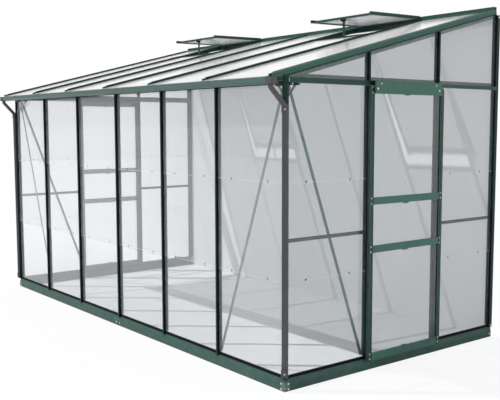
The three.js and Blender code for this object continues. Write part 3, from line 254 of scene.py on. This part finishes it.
def glass(name, tint, clear, through, roughness=0.01, index=1.45):
    """Horticultural glass: faint ripples and a bloom of dust that thickens near the ground.
    Clear is the share of light that passes, and through the colour that shadows and bounced light keep."""
    s = Shader(name)
    bloom = s.spread(s.noise(2.3, 5, 0.6), 0.35, 0.75)
    low = s.spread(s.along("Z"), GLASS_DUST_TOP, GLASS_DUST_FULL)
    streak = s.math("MULTIPLY", low, s.spread(s.noise(9, 5, 0.7, (1, 1, 0.12)), 0.4, 0.75), clamp=True)
    dusty = s.math("ADD", s.math("MULTIPLY", bloom, 0.25), s.math("MULTIPLY", streak, 0.3), clamp=True)
    body = s.blend(dusty, tint, tuple(c * 0.93 for c in tint))
    rough = s.spread(dusty, 0.0, 1.0, roughness, roughness + 0.03)
    ripple = s.bump(s.noise(3.5, 2), 0.04, 0.002)
    pane = s.principled(body, rough, ripple, IOR=index, Transmission_Weight=clear)
    path = s.add("ShaderNodeLightPath")
    film = s.add("ShaderNodeBsdfTransparent")
    film.inputs["Color"].default_value = (*through, 1)
    choose = s.add("ShaderNodeMixShader")
    s.join(s.math("MAXIMUM", path.outputs["Is Shadow Ray"], path.outputs["Is Diffuse Ray"]), choose.inputs[0])
    s.join(pane.outputs[0], choose.inputs[1])
    s.join(film.outputs[0], choose.inputs[2])
    return s.finish(choose.outputs[0])


# Painted shade: the paints turn darker on the doors' stiles, on the rafters, and on the wall plate behind the
# vents
DOOR_MID = 1.5 * BAY + ROW_SHIFT
DOOR_OPENING = 0.3  # half the width between the stiles
PLATE_HALF = 0.03
PLATE_MID = ROOF_DEPTH - PLATE_HALF + ROW_SHIFT
VENT_MID, VENT_HALF = 1.5 * BAY, 0.3

frame_paint = paint("frame_paint", (0.013, 0.08, 0.058), shine=0.42)
bar_paint = paint("bar_paint", (0.006, 0.034, 0.025), gloss=0.5, shine=0.18, dusty=0.15)
base_paint = paint("base_paint", (0.027, 0.083, 0.068), gloss=0.45, shine=0.25, dusty=0.12)
track_paint = paint("track_paint", (0.009, 0.058, 0.043), shine=0.35)
gutter_paint = paint("gutter_paint", (0.044, 0.102, 0.086), gloss=0.38)
brace_paint = paint("brace_paint", (0.03, 0.1, 0.08), gloss=0.45, shine=0.55)
# Roof paint with painted shade: darker on the rafters and on the wall plate behind the vents
roof_paint_and_shade = paint("roof_paint_and_shade", (0.014, 0.086, 0.063), gloss=0.45, shine=0.3,
                   painted_shade=((0.003, 0.018, 0.014), PLATE_MID, PLATE_HALF), bays=(VENT_MID, VENT_HALF))
# Door paint with painted shade: darker on the stiles
door_paint = paint("door_paint", (0.017, 0.104, 0.072), gloss=0.4, dusty=0.15,
                   painted_shade=((0.003, 0.035, 0.024), DOOR_MID, DOOR_OPENING))
vent_paint = paint("vent_paint", (0.01, 0.056, 0.042), gloss=0.45, shine=0.3)
rain_plastic = plastic("rain_plastic_look", (0.06, 0.06, 0.061), 0.42)
nylon = plastic("roller_nylon_look", (0.62, 0.6, 0.55), 0.4)
zinc_plated = zinc("zinc_plated", (0.86, 0.86, 0.87), 0.3)
spring_steel = zinc("spring_steel", (0.3, 0.31, 0.31), 0.4)
black_rubber = rubber("black_rubber", (0.002, 0.0024, 0.0023))
lap_plastic = plastic("lap_plastic_look", (0.72, 0.75, 0.75), 0.35)
black_plastic = plastic("black_plastic_look", (0.006, 0.0065, 0.0065), 0.5)

FRONT_TINT, FRONT_THROUGH = (0.9, 0.903, 0.911), (0.9, 0.91, 0.915)
END_TINT, END_THROUGH = (0.955, 0.958, 0.963), (0.92, 0.93, 0.935)
ROOF_TINT, ROOF_THROUGH = (0.9, 0.897, 0.892), (0.56, 0.57, 0.575)
front_glass = glass("front_glass_look", FRONT_TINT, 0.91, FRONT_THROUGH)
end_glass = glass("end_glass_look", END_TINT, 0.975, END_THROUGH)
door_glass = glass("door_glass_look", END_TINT, 0.975, END_THROUGH)
roof_glass = glass("roof_glass_look", ROOF_TINT, 0.52, ROOF_THROUGH, 0.14)
vent_glass = glass("vent_glass_look", ROOF_TINT, 0.75, ROOF_THROUGH, 0.2, 1.15)

SLOT_LOOKS = {
    "frame_green": frame_paint,
    "gutter_green": gutter_paint,
    "brace_green": brace_paint,
    "door_green": door_paint,
    "vent_green": vent_paint,
    "rain_plastic": rain_plastic,
    "roller_nylon": nylon,
    "front_glass": front_glass,
    "roof_glass": roof_glass,
    "vent_glass": vent_glass,
    "end_glass": end_glass,
    "door_glass": door_glass,
}
# Nodes whose names start so have a look of their own
NODE_LOOKS = {
    "front_bar": bar_paint,
    "corner_post": bar_paint,
    "wall_post": bar_paint,
    "jamb": bar_paint,
    "base": base_paint,
    "wall_plate": roof_paint_and_shade,
    "door_track": track_paint,
}


def dress_nodes():
    for name, node in nodes.items():
        look = SLOT_LOOKS[node.material_slots[0].material.name.split(".")[0]]
        for start, own_look in NODE_LOOKS.items():
            look = own_look if name.startswith(start) else look
        node.material_slots[0].material = look


dress_nodes()


# Small pieces: seals, bolts, clips and covers

SIDES = (1, -1)  # the right and the left end
sill_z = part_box("front_panes_1")[0].z
eaves_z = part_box("front_panes_1")[1].z
track_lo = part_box("door_track_right")[0]
X, Y, Z = (Vector(axis) for axis in ((1, 0, 0), (0, 1, 0), (0, 0, 1)))
UP_SLOPE = Vector((0, math.cos(SLOPE), math.sin(SLOPE)))
ROOF_NORMAL = Vector((0, -math.sin(SLOPE), math.cos(SLOPE)))


def at(x, y, z):
    """A place of the CAD's drawing, moved as the CAD is."""
    return Vector((x, y + ROW_SHIFT, z))


def on_roof(x, y, out):
    """A point at a height over the rafters' centre line, for a place on the ground."""
    return at(x, y, ROOF_FRONT + y * math.tan(SLOPE) - RAFTER_OUT / math.cos(SLOPE)) + ROOF_NORMAL * out


class Piece:
    """One piece of the scene, made of closed parts in one mesh."""

    def __init__(self, name, look, body, slot):
        self.name, self.look, self.body, self.slot = name, look, body, slot
        self.mesh = bmesh.new()

    def skin(self, rings):
        """Joins rings of points to a closed part."""
        sides = len(rings[0])
        self.mesh.faces.new(rings[0][::-1])
        self.mesh.faces.new(rings[-1])
        for low, high in zip(rings, rings[1:]):
            for k in range(sides):
                after = (k + 1) % sides
                self.mesh.faces.new((low[k], low[after], high[after], high[k]))

    def prism(self, outline, start, end, across, out):
        """An outline of (across, out) pairs, drawn from start to end."""
        rings = [[self.mesh.verts.new(p + across * a + out * b) for a, b in outline] for p in (start, end)]
        self.skin(rings)

    def turned(self, profile, place, axis, sides=14):
        """Turned from (radius, height) pairs."""
        guide = axis.orthogonal().normalized()
        other = axis.cross(guide)
        rings = []
        for radius, height in profile:
            ring = []
            for k in range(sides):
                turn = 2 * math.pi * k / sides
                ring.append(self.mesh.verts.new(
                    place + axis * height + radius * (math.cos(turn) * guide + math.sin(turn) * other)))
            rings.append(ring)
        self.skin(rings)

    def bolt(self, place, axis, radius=0.0042):
        """A washer with a domed head on it."""
        washer, high = 1.4 * radius, 0.85 * radius
        self.turned([
            (washer * 0.96, 0), (washer, 0.0003), (washer, 0.0008), (washer * 0.92, 0.0011),
            (radius, 0.0011), (radius * 0.97, high * 0.6), (radius * 0.8, high * 0.88), (radius * 0.35, high),
        ], place, axis)

    def flush_head(self, place, axis, radius):
        """A countersunk screw's head, level with the face that it sits in."""
        self.turned([
            (radius * 0.7, -0.0008), (radius, -0.0002), (radius * 0.98, 0.00008), (radius * 0.4, 0.0001),
        ], place, axis)

    def tube(self, points, radius, sides=6):
        """A wire along a line of points."""
        rings, guide = [], None
        for k, point in enumerate(points):
            ahead = (points[min(k + 1, len(points) - 1)] - points[max(k - 1, 0)]).normalized()
            guide = ahead.orthogonal() if guide is None else guide
            guide = (guide - ahead * guide.dot(ahead)).normalized()
            other = ahead.cross(guide)
            turns = [2 * math.pi * t / sides for t in range(sides)]
            rings.append([self.mesh.verts.new(
                point + radius * (math.cos(t) * guide + math.sin(t) * other)) for t in turns])
        self.skin(rings)

    def done(self):
        bmesh.ops.recalc_face_normals(self.mesh, faces=self.mesh.faces)
        data = bpy.data.meshes.new(self.name)
        self.mesh.to_mesh(data)
        self.mesh.free()
        data.materials.append(self.look)
        data.shade_smooth()
        data.set_sharp_from_angle(angle=math.radians(38))
        piece = bpy.data.objects.new(self.name, data)
        bpy.context.scene.collection.objects.link(piece)
        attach(piece, self.body)


def make(name, look, slot, *makers):
    """One piece on the frame, from the functions that add its parts."""
    piece = Piece(name, look, "frame", slot)
    for maker in makers:
        maker(piece)
    piece.done()


# Seals

SEAL = 0.0017  # thickness of the seals beside the noses
SEAL_TOP = 0.004  # they end this far below the nose's face
SEAL_CLEAR = NOSE_HALF + SEAL + 3 * GAP  # strips along a pane's edge stop this far from the bars' middles
GABLE_UNDER = 0.0365  # from the rafters' noses down to where the uprights' seals end
UPRIGHT_REACH = 0.008  # an upright's seals are cut where the gable is lowest over them


def seal_outline(low, high, near, thick):
    """Section of a rubber seal beside a nose: two soft corners and a lip."""
    soft = thick * 0.4
    return [
        (near, low), (near + thick * 1.25, low), (near + thick, low + soft),
        (near + thick, high - soft), (near + thick - soft, high), (near, high),
    ]


def nose_seal(pane_out, nose_out):
    return seal_outline(pane_out, nose_out - SEAL_TOP, NOSE_HALF + GAP, SEAL)


def front_strip(piece, outline, k, z):
    """A strip from bar to bar across one front bay."""
    piece.prism(outline, at(k * BAY + SEAL_CLEAR, 0, z), at((k + 1) * BAY - SEAL_CLEAR, 0, z), -Y, Z)


def end_strips(piece, outline, side, z):
    """The same across the fixed bays of one end."""
    for low, high in END_BAYS:
        start = at(side * CORNER_X, low + SEAL_CLEAR, z)
        piece.prism(outline, start, at(side * CORNER_X, high - SEAL_CLEAR, z), side * X, Z)


def front_seals(piece):
    for k in range(-2, 3):
        for side in (X, -X):
            start, end = (at(k * BAY, 0, z) for z in (sill_z, eaves_z))
            piece.prism(nose_seal(LAP_OUT, BAR_OUT), start, end, side, -Y)
    for side in SIDES:
        start, end = (at(side * CORNER_X, 0, z) for z in (sill_z, eaves_z))
        piece.prism(nose_seal(LAP_OUT, BASE_OUT), start, end, -side * X, -Y)


def end_seals(piece, side):
    out = side * X
    under_track = track_lo.z - GAP
    over_track = track_lo.z + TRACK_TALL + 0.001

    def under_gable(y):
        return ROOF_FRONT + y * math.tan(SLOPE) - GABLE_UNDER / math.cos(SLOPE)

    def upright(outline, y, low, high, way):
        piece.prism(outline, at(side * CORNER_X, y, low), at(side * CORNER_X, y, high), way, out)

    upright(nose_seal(LAP_OUT, BASE_OUT), 0, sill_z, under_track, Y)
    for y, way in [(y, way) for y in DOOR_BARS for way in (Y, -Y)] + [(WALL_LINE, -Y)]:
        lowest = y + (way.y - 1) * UPRIGHT_REACH
        upright(nose_seal(LAP_OUT, BAR_OUT), y, sill_z, under_track, way)
        upright(nose_seal(GLASS_OUT, BAR_OUT), y, over_track, under_gable(lowest), way)


def both_ends_seals(piece):
    for side in SIDES:
        end_seals(piece, side)


def foot_and_head_seals(piece):
    """Strips at the foot of the fixed panes, and at the head of the front panes."""
    lip = 0.0118
    foot = [(GLASS_OUT, 0), (lip, 0), (lip, 0.004), (0.0102, 0.0155), (0.009, 0.0165), (GLASS_OUT, 0.0165)]
    head = [(GLASS_OUT, 0), (GLASS_OUT, -0.013), (0.0102, -0.013), (lip, -0.009), (lip, 0)]
    for k in FRONT_BAYS:
        front_strip(piece, foot, k, sill_z + GAP)
        front_strip(piece, head, k, eaves_z - GAP)
    for side in SIDES:
        end_strips(piece, foot, side, sill_z + GAP)


def wall_plate_seal(piece):
    """A strip along the top of the wall plate."""
    half = CORNER_X - 0.007
    top = 2.2792
    outline = [(0.001, 0), (0.0085, 0), (0.0085, 0.004), (0.006, 0.0052), (0.0035, 0.0052), (0.001, 0.004)]
    piece.prism(outline, at(-half, PLATE_Y, top), at(half, PLATE_Y, top), Y, Z)


# Pieces on the roof

CAP_FOOT = 0.0085  # a capping's thickness on the glass
CAP_TOP = 0.0042  # and over the nose
CAP_EDGE = 0.001  # its softened corners
CAP_FRONT = -0.082
CAP_BACK = PLATE_Y - 0.0093
VENT_FOOT_Y = VENT_SILL_Y - 0.002
GABLE_FACE_FOOT = -0.0195  # lower edge of the gable rafters' faces, from the rafters' centre line
GABLE_FRONT = -0.095


def roof_capping(piece):
    """Channels snapped over the rafters' noses, which hold the roof panes down.
    Beside a vent and on a gable only one leg goes on, on the side of the fixed pane."""
    near, far, top = NOSE_HALF + GAP, NOSE_HALF + CAP_FOOT, RAFTER_OUT + CAP_TOP
    shoulder = far - CAP_FOOT / 2
    leg = [(near, GLASS_OUT), (far, GLASS_OUT), (shoulder, top - CAP_EDGE), (shoulder - CAP_EDGE, top)]
    inner = RAFTER_OUT + GAP
    channel = leg + [(-x, y) for x, y in leg[::-1]] + [(-near, inner), (near, inner)]
    one_leg = leg[:3] + [(near, top - CAP_EDGE)]
    for k in range(-3, 4):
        beside_vent, gable = abs(k) in (1, 2), abs(k) == 3
        front, back = on_roof(k * BAY, CAP_FRONT, 0), on_roof(k * BAY, CAP_BACK, 0)
        vent_foot = on_roof(k * BAY, VENT_FOOT_Y, 0)
        if not gable:
            piece.prism(channel, front, vent_foot if beside_vent else back, X, ROOF_NORMAL)
        if beside_vent or gable:
            way = math.copysign(1, k) if abs(k) == 2 else -math.copysign(1, k)
            piece.prism(one_leg, front if gable else vent_foot, back, way * X, ROOF_NORMAL)


def head_strips(piece):
    """Green strips between the roof panes' heads and the wall plate."""
    strip = [(0, GLASS_OUT), (0.007, GLASS_OUT), (0.007, 0.012), (0.0045, 0.0145), (0, 0.0145)]
    clear = NOSE_HALF + CAP_FOOT + GAP
    head_y = PLATE_Y - 0.009
    for k in (-3, -1, 0, 2):  # the bays without a vent
        left, right = on_roof(k * BAY + clear, head_y, 0), on_roof((k + 1) * BAY - clear, head_y, 0)
        piece.prism(strip, left, right, UP_SLOPE, ROOF_NORMAL)


def gable_shadow_lines(piece):
    """A dark strip along the lower edge of each gable rafter's face, a painted shadow line."""
    outline = [(0, 0), (0.0008, 0.0005), (0.0008, 0.0072), (0, 0.0078)]
    for side in SIDES:
        start, end = (on_roof(side * (GABLE_FACE_X + GAP), y, GABLE_FACE_FOOT) for y in (GABLE_FRONT, PLATE_Y))
        piece.prism(outline, start, end, side * X, ROOF_NORMAL)


def spring_clips(piece):
    """Bent wires that press the end panes on the gable rafters' flange."""
    wave = ((-0.024, 0.0), (-0.018, -0.011), (-0.011, -0.013), (-0.005, -0.004), (0.0, 0.001),
            (0.005, -0.004), (0.011, -0.013), (0.018, -0.011), (0.024, 0.0))
    first, pitch, count = 0.097, 0.2255, 8
    clear_of_bars = 0.04
    wire = 0.0013
    for side in SIDES:
        for k in range(count):
            y = first + k * pitch
            if min(abs(y - bar) for bar in DOOR_BARS) < clear_of_bars:
                continue
            middle = on_roof(side * (CORNER_X + 0.0078), y, -0.0225)
            points = [middle + UP_SLOPE * a + ROOF_NORMAL * b for a, b in wave]
            piece.tube(points, wire)


# Covers, plates and bolts

FRONT_ARM_Z, END_ARM_Z = 1.6985, 1.7055  # undersides of the covers on the knee brackets' arms
CORNER_BOLT = 0.028  # bolts of the base's corner plate, from its corner
CORNER_PLATE = 0.0014  # thickness of that plate
BASE_BEND, BASE_LEAN = 0.04, 0.27  # height over which the base's face leans back, and how much
BASE_JOINT_X = -0.018
PIPE_BOLT_OUT = 0.0465


def knee_covers(piece):
    """Black plastic ends over the knee brackets' arms."""
    front = [(0, 0), (0.006, 0.001), (0.009, 0.005), (0.009, 0.018), (0.006, 0.0215), (0, 0.0225)]
    end = [(0, 0), (0.003, 0.001), (0.0045, 0.003), (0.0045, 0.008), (0.003, 0.0095), (0, 0.01)]
    face = ARM_OUT + GAP
    for side in SIDES:
        start = at(side * (CORNER_X - 0.062), -face, FRONT_ARM_Z)
        piece.prism(front, start, at(side * (CORNER_X - 0.0085), -face, FRONT_ARM_Z), -Y, Z)
        start = at(side * (CORNER_X + face), 0.051, END_ARM_Z)
        piece.prism(end, start, at(side * (CORNER_X + face), 0.088, END_ARM_Z), side * X, Z)


def pipe_axis(side):
    return Vector((side, -1, 0)).normalized()


def pipe_feet(piece):
    """A dark grommet between the pipe's foot and the base."""
    outline = [(-0.012, 0.0205), (0.012, 0.0205), (0.0135, 0.03), (0.011, 0.037), (-0.011, 0.037),
               (-0.0135, 0.03)]
    for side in SIDES:
        out = pipe_axis(side)
        start, end = (at(side * CORNER_X, 0, z) for z in (0.0738, 0.0836))
        piece.prism(outline, start, end, out.cross(Z), out)


def corner_plates(piece):
    """Folded plates that join the base rails at the front corners."""
    wing = 0.038
    levels = ((0.003, 0), (0.039, 0), (0.053, 0.0037))
    for side in SIDES:
        corner = at(side * (CORNER_X + BASE_OUT), -BASE_OUT, 0)
        rings = []
        for z, back in levels:
            skin, lining = CORNER_PLATE - back, GAP - back
            ring = [(-wing, skin), (skin * 0.4, skin), (skin, skin * 0.4), (skin, -wing),
                    (lining, -wing), (lining, lining), (-wing, lining)]
            rings.append([piece.mesh.verts.new(corner + Vector((side * a, -b, z))) for a, b in ring])
        piece.skin(rings)


def corner_bolts(piece, side):
    face = BASE_OUT + CORNER_PLATE
    for z in (0.012, 0.0425):
        lean = max(0, z - BASE_BEND) * BASE_LEAN
        piece.bolt(at(side * (CORNER_X + BASE_OUT - CORNER_BOLT), -face + lean, z), -Y, 0.0044)
        piece.bolt(at(side * (CORNER_X + face - lean), CORNER_BOLT - BASE_OUT, z), side * X, 0.0044)


def end_bolts(piece, side):
    """Bolts of the wall post, the knee bracket, the track and the pipe's clips."""
    out = side * X
    piece.bolt(at(side * (CORNER_X + BASE_OUT + GAP), WALL_LINE + 0.003, 0.022), out)
    piece.bolt(at(side * (CORNER_X + BAR_OUT + GAP), WALL_LINE + 0.004, 0.084), out)
    piece.bolt(at(side * (CORNER_X + BAR_OUT + GAP), WALL_LINE + 0.006, 2.212), out, 0.005)
    piece.bolt(at(side * (CORNER_X + ARM_OUT + GAP), 0.038, 1.713), out)
    piece.bolt(at(side * (track_lo.x + TRACK_WALL + GAP), 0.063, 1.758), out)
    pipe = pipe_axis(side)
    for z in (1.572, 0.107):
        piece.bolt(at(side * CORNER_X, 0, z) + pipe * PIPE_BOLT_OUT, pipe, 0.0031)


def frame_bolts(piece):
    for side in SIDES:
        corner_bolts(piece, side)
        end_bolts(piece, side)
    for x in (BASE_JOINT_X - 0.023, BASE_JOINT_X + 0.023):
        piece.bolt(at(x, -BASE_OUT - GAP, 0.023), -Y)


def base_joint(piece):
    """The dark line where the two halves of the front base rail meet."""
    outline = [(-0.0008, 0), (0.0008, 0), (0.0006, 0.0006), (-0.0006, 0.0006)]
    start, end = (at(BASE_JOINT_X, -BASE_OUT, z) for z in (0.002, 0.0395))
    piece.prism(outline, start, end, X, -Y)


# Pieces on the lapped panes

LAPS = (0.6133, 1.1683)  # heights of the upper panes' lower edges


def lap_clips(piece):
    """Dark hooks that hold a pane's foot over the pane below."""
    hook = [(0.0062, -0.0013), (0.0103, -0.0013), (0.0103, 0.0085),
            (0.0096, 0.0085), (0.0096, -0.0006), (0.0062, -0.0006)]
    set_in, half = 0.143, 0.0045
    for z in LAPS:
        for k in FRONT_BAYS:
            for x in (k * BAY + set_in, (k + 1) * BAY - set_in):
                piece.prism(hook, at(x - half, 0, z), at(x + half, 0, z), -Y, Z)
        for side in SIDES:
            for y in [y for low, high in END_BAYS for y in (low + set_in, high - set_in)]:
                start, end = (at(side * CORNER_X, y + way * half, z) for way in (-1, 1))
                piece.prism(hook, start, end, side * X, Z)


def lap_edges(piece):
    """Clear plastic strips along the lower edges of the lapping panes."""
    near, far, tall = LAP_OUT + 0.0001, LAP_OUT + 0.0004, 0.0016
    outline = [(near, 0), (far, 0), (far, tall), (near, tall)]
    for z in LAPS:
        for k in FRONT_BAYS:
            front_strip(piece, outline, k, z)
        for side in SIDES:
            end_strips(piece, outline, side, z)


# Pieces on the doors

BOARD_HEADS = ((0.28, 1.7, 0.006), (0.25, 1.7305, 0.0045))  # each from the middle, height, radius
STILE_BOLT_HEIGHTS = (1.6755, 1.053, 1.022, 0.762, 0.731, 0.106, 0.076)
GLASS_CLIPS = ((1.007, 1.0585), (0.7175, 0.7685), (1.6655, 1.672), (0.1105, 0.1175))  # lower and upper edge
DOOR_GLASS_FOOT, DOOR_GLASS_HEAD = 0.115, 1.669


def door_bolts(bolts, side, middle, stile_mid):
    out = side * X
    for y, z, radius in BOARD_HEADS:
        for way in SIDES:
            bolts.flush_head(at(side * (CORNER_X + BOARD_OUT), middle + way * y - 0.004, z), out, radius)
    for z in STILE_BOLT_HEIGHTS:
        for way in SIDES:
            bolts.bolt(at(side * (CORNER_X + STILE_OUT + GAP), middle + way * stile_mid, z), out, 0.0032)


def door_clips(clips, side, y):
    """Small plates that stand a little above and below the rails."""
    half, soft, thick = 0.025, 0.006, 0.0016
    start = at(side * (CORNER_X + STILE_OUT + GAP), y, 0)
    for low, high in GLASS_CLIPS:
        outline = [
            (-half, low + soft / 2), (-half + soft, low), (half - soft, low), (half, low + soft / 2),
            (half, high - soft / 2), (half - soft, high), (-half + soft, high), (-half, high - soft / 2),
        ]
        clips.prism(outline, start, start + side * X * thick, Y, Z)


def door_seals(seals_and_shade, side, middle, glass_half):
    """Seals between the glass and the stiles."""
    out = side * X
    glass_x = side * (CORNER_X + DOOR_GLASS_OUT)
    outline = [(0, 0), (0.0035, 0), (0.003, 0.0035), (0.0, 0.0055)]
    for way in SIDES:
        start, end = (at(glass_x, middle + way * glass_half, z) for z in (DOOR_GLASS_FOOT, DOOR_GLASS_HEAD))
        seals_and_shade.prism(outline, start, end, -way * Y, out)


def door_shadow_block(seals_and_shade, side, front_y):
    """A black block at the front end of the door's top board, which paints the shade in the track's channel
    there.
    """
    shadow_outline = [(0, 0), (0.022, 0), (0.024, 0.003), (0.024, 0.008), (0.021, 0.01), (0, 0.01)]
    start = at(side * (CORNER_X + 0.0425), front_y + 0.004, 1.7215)
    seals_and_shade.prism(shadow_outline, start, start + Z * 0.024, Y, side * X)


def door_hook(hook, side, front_y):
    """A bent wire on the front stile."""
    x = side * (CORNER_X + STILE_OUT + 0.0022)
    y, z, half_wide, half_tall = front_y + 0.018, 1.6955, 0.016, 0.013
    turns = [math.radians(150 - 15 * k) for k in range(9)]
    points = [at(x, y + half_wide * math.cos(t), z + half_tall * math.sin(t)) for t in turns]
    hook.tube(points, 0.0019, 8)


def door_pieces(side, name):
    body = "door_" + name
    door_lo, door_hi = (v - Y * ROW_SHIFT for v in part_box("door_frame_" + name))
    middle = (door_lo.y + door_hi.y) / 2
    stile_mid = (door_hi.y - door_lo.y) / 2 - STILE_HALF
    bolts = Piece("door_bolts_" + name, zinc_plated, body, "door_green")
    door_bolts(bolts, side, middle, stile_mid)
    bolts.done()
    clips = Piece("door_glass_clips_" + name, door_paint, body, "door_green")
    door_clips(clips, side, middle - 0.015)
    clips.done()
    seals_and_shade = Piece("door_seals_" + name, black_rubber, body, "rain_plastic")
    door_seals(seals_and_shade, side, middle, stile_mid - STILE_HALF - GAP)
    # A black block that paints shade at the front of the door's top board
    door_shadow_block(seals_and_shade, side, door_lo.y)
    seals_and_shade.done()
    hook = Piece("door_hook_" + name, spring_steel, body, "door_green")
    door_hook(hook, side, door_lo.y)
    hook.done()


make("glazing_seals", black_rubber, "rain_plastic",
     front_seals, both_ends_seals, foot_and_head_seals, wall_plate_seal)
# Dark strips that paint a shadow line under the gable rafters' faces
make("gable_shadow_lines", bar_paint, "frame_green", gable_shadow_lines)
make("rafter_capping", bar_paint, "frame_green", roof_capping)
make("roof_head_strips", gutter_paint, "frame_green", head_strips)
make("bracket_covers", black_plastic, "rain_plastic", knee_covers, pipe_feet)
make("base_corner_plates", gutter_paint, "frame_green", corner_plates)
make("frame_bolts", zinc_plated, "frame_green", frame_bolts)
make("base_joint", black_rubber, "rain_plastic", base_joint)
make("lap_clips", black_plastic, "rain_plastic", lap_clips)
make("lap_edges", lap_plastic, "frame_green", lap_edges)
make("spring_clips", spring_steel, "frame_green", spring_clips)
door_pieces(1, "right")
door_pieces(-1, "left")


# Floor, the wall that the greenhouse leans on, light and camera

FLOOR_COLOUR, FLOOR_KEPT = (0.775, 0.785, 0.795), 0.12
WALL_COLOUR, WALL_KEPT = (0.8, 0.81, 0.82), 0.0
STAGE_REACH = 30.0
FLOOR_Z = -0.0006
WALL_Y = cad_box[1].y + 0.001
SKY_STRENGTH = 0.7
SKY_SEEN_STRENGTH = 1.0
SUN_STRENGTH = 2.35
SUN_WIDTH = math.radians(0.7)
SUN_DIRECTION = Vector((0.3826, 0.4439, -0.7785))

# The camera, as fitted to the photo
CAMERA_PLACE = (5.2207, -3.6911, 1.4862)
CAMERA_AZIMUTH, CAMERA_DOWN, CAMERA_ROLL = (math.radians(v) for v in (51.5840, 5.7112, -0.0653))
SENSOR_WIDTH, LENS = 36.0, 57.418
LENS_SHIFT = (-0.01998, 0.01009)


def plate(name, corners, look):
    mesh = bpy.data.meshes.new(name)
    mesh.from_pydata(corners, [], [(0, 1, 2, 3)])
    mesh.materials.append(look)
    piece = bpy.data.objects.new(name, mesh)
    bpy.context.scene.collection.objects.link(piece)


def backdrop(name, colour, kept, one_sided):
    """A pale matt surface, which the camera sees as white with the kept share of its own shade.
    One-sided, it is white in mirrors too, and only its front shows."""
    s = Shader(name)
    matt = s.add("ShaderNodeBsdfDiffuse")
    matt.inputs["Color"].default_value = rgba(colour)
    white = s.add("ShaderNodeEmission")
    path = s.add("ShaderNodeLightPath")
    choose = s.add("ShaderNodeMixShader")
    seen = path.outputs["Is Camera Ray"]
    if one_sided:
        glossy, refracted = path.outputs["Is Glossy Ray"], path.outputs["Is Transmission Ray"]
        seen = s.math("MAXIMUM", seen, s.math("SUBTRACT", glossy, refracted, clamp=True))
    s.join(s.math("MULTIPLY", seen, 1.0 - kept), choose.inputs[0])
    s.join(matt.outputs[0], choose.inputs[1])
    s.join(white.outputs[0], choose.inputs[2])
    if not one_sided:
        return s.finish(choose.outputs[0])
    gone = s.add("ShaderNodeBsdfTransparent")
    side = s.add("ShaderNodeMixShader")
    s.join(s.add("ShaderNodeNewGeometry").outputs["Backfacing"], side.inputs[0])
    s.join(choose.outputs[0], side.inputs[1])
    s.join(gone.outputs[0], side.inputs[2])
    return s.finish(side.outputs[0])


def set_stage():
    r = STAGE_REACH
    plate("floor", [(-r, -r, FLOOR_Z), (r, -r, FLOOR_Z), (r, r, FLOOR_Z), (-r, r, FLOOR_Z)],
          backdrop("floor_look", FLOOR_COLOUR, FLOOR_KEPT, False))
    plate("back_wall", [(-r, WALL_Y, FLOOR_Z), (r, WALL_Y, FLOOR_Z), (r, WALL_Y, r), (-r, WALL_Y, r)],
          backdrop("back_wall_look", WALL_COLOUR, WALL_KEPT, True))


def light_world():
    """An even white sky, brighter where it is seen straight or through glass."""
    world = bpy.data.worlds.new("studio")
    bpy.context.scene.world = world
    world.use_nodes = True
    tree = world.node_tree
    tree.nodes.clear()
    output = tree.nodes.new("ShaderNodeOutputWorld")
    sky = tree.nodes.new("ShaderNodeBackground")
    path = tree.nodes.new("ShaderNodeLightPath")
    seen = tree.nodes.new("ShaderNodeMath")
    seen.operation = "MAXIMUM"
    tree.links.new(path.outputs["Is Camera Ray"], seen.inputs[0])
    tree.links.new(path.outputs["Is Transmission Ray"], seen.inputs[1])
    strength = tree.nodes.new("ShaderNodeMapRange")
    strength.inputs["To Min"].default_value = SKY_STRENGTH
    strength.inputs["To Max"].default_value = SKY_SEEN_STRENGTH
    tree.links.new(seen.outputs[0], strength.inputs["Value"])
    tree.links.new(strength.outputs[0], sky.inputs["Strength"])
    tree.links.new(sky.outputs[0], output.inputs["Surface"])
    sky.inputs["Color"].default_value = (1, 1, 1, 1)


def place_sun():
    sun = bpy.data.lights.new("sun", "SUN")
    sun.energy = SUN_STRENGTH
    sun.angle = SUN_WIDTH
    sun_object = bpy.data.objects.new("sun", sun)
    sun_object.matrix_world = SUN_DIRECTION.to_track_quat("-Z", "Y").to_matrix().to_4x4()
    bpy.context.scene.collection.objects.link(sun_object)


def place_camera():
    level_reach = math.cos(CAMERA_DOWN)
    forward = Vector((-math.sin(CAMERA_AZIMUTH) * level_reach, math.cos(CAMERA_AZIMUTH) * level_reach,
                      -math.sin(CAMERA_DOWN)))
    level = forward.cross(Z).normalized()
    over = level.cross(forward)
    right = math.cos(CAMERA_ROLL) * level + math.sin(CAMERA_ROLL) * over
    up = -math.sin(CAMERA_ROLL) * level + math.cos(CAMERA_ROLL) * over
    data = bpy.data.cameras.new("camera")
    data.sensor_fit = "HORIZONTAL"
    data.sensor_width = SENSOR_WIDTH
    data.lens = LENS
    data.shift_x, data.shift_y = LENS_SHIFT
    data.clip_end = 200.0
    camera = bpy.data.objects.new("camera", data)
    turn = Matrix((right, up, -forward)).transposed().to_4x4()
    camera.matrix_world = Matrix.Translation(CAMERA_PLACE) @ turn
    bpy.context.scene.collection.objects.link(camera)
    bpy.context.scene.camera = camera


set_stage()
light_world()
place_sun()
place_camera()
bpy.context.scene.view_settings.view_transform = "Standard"
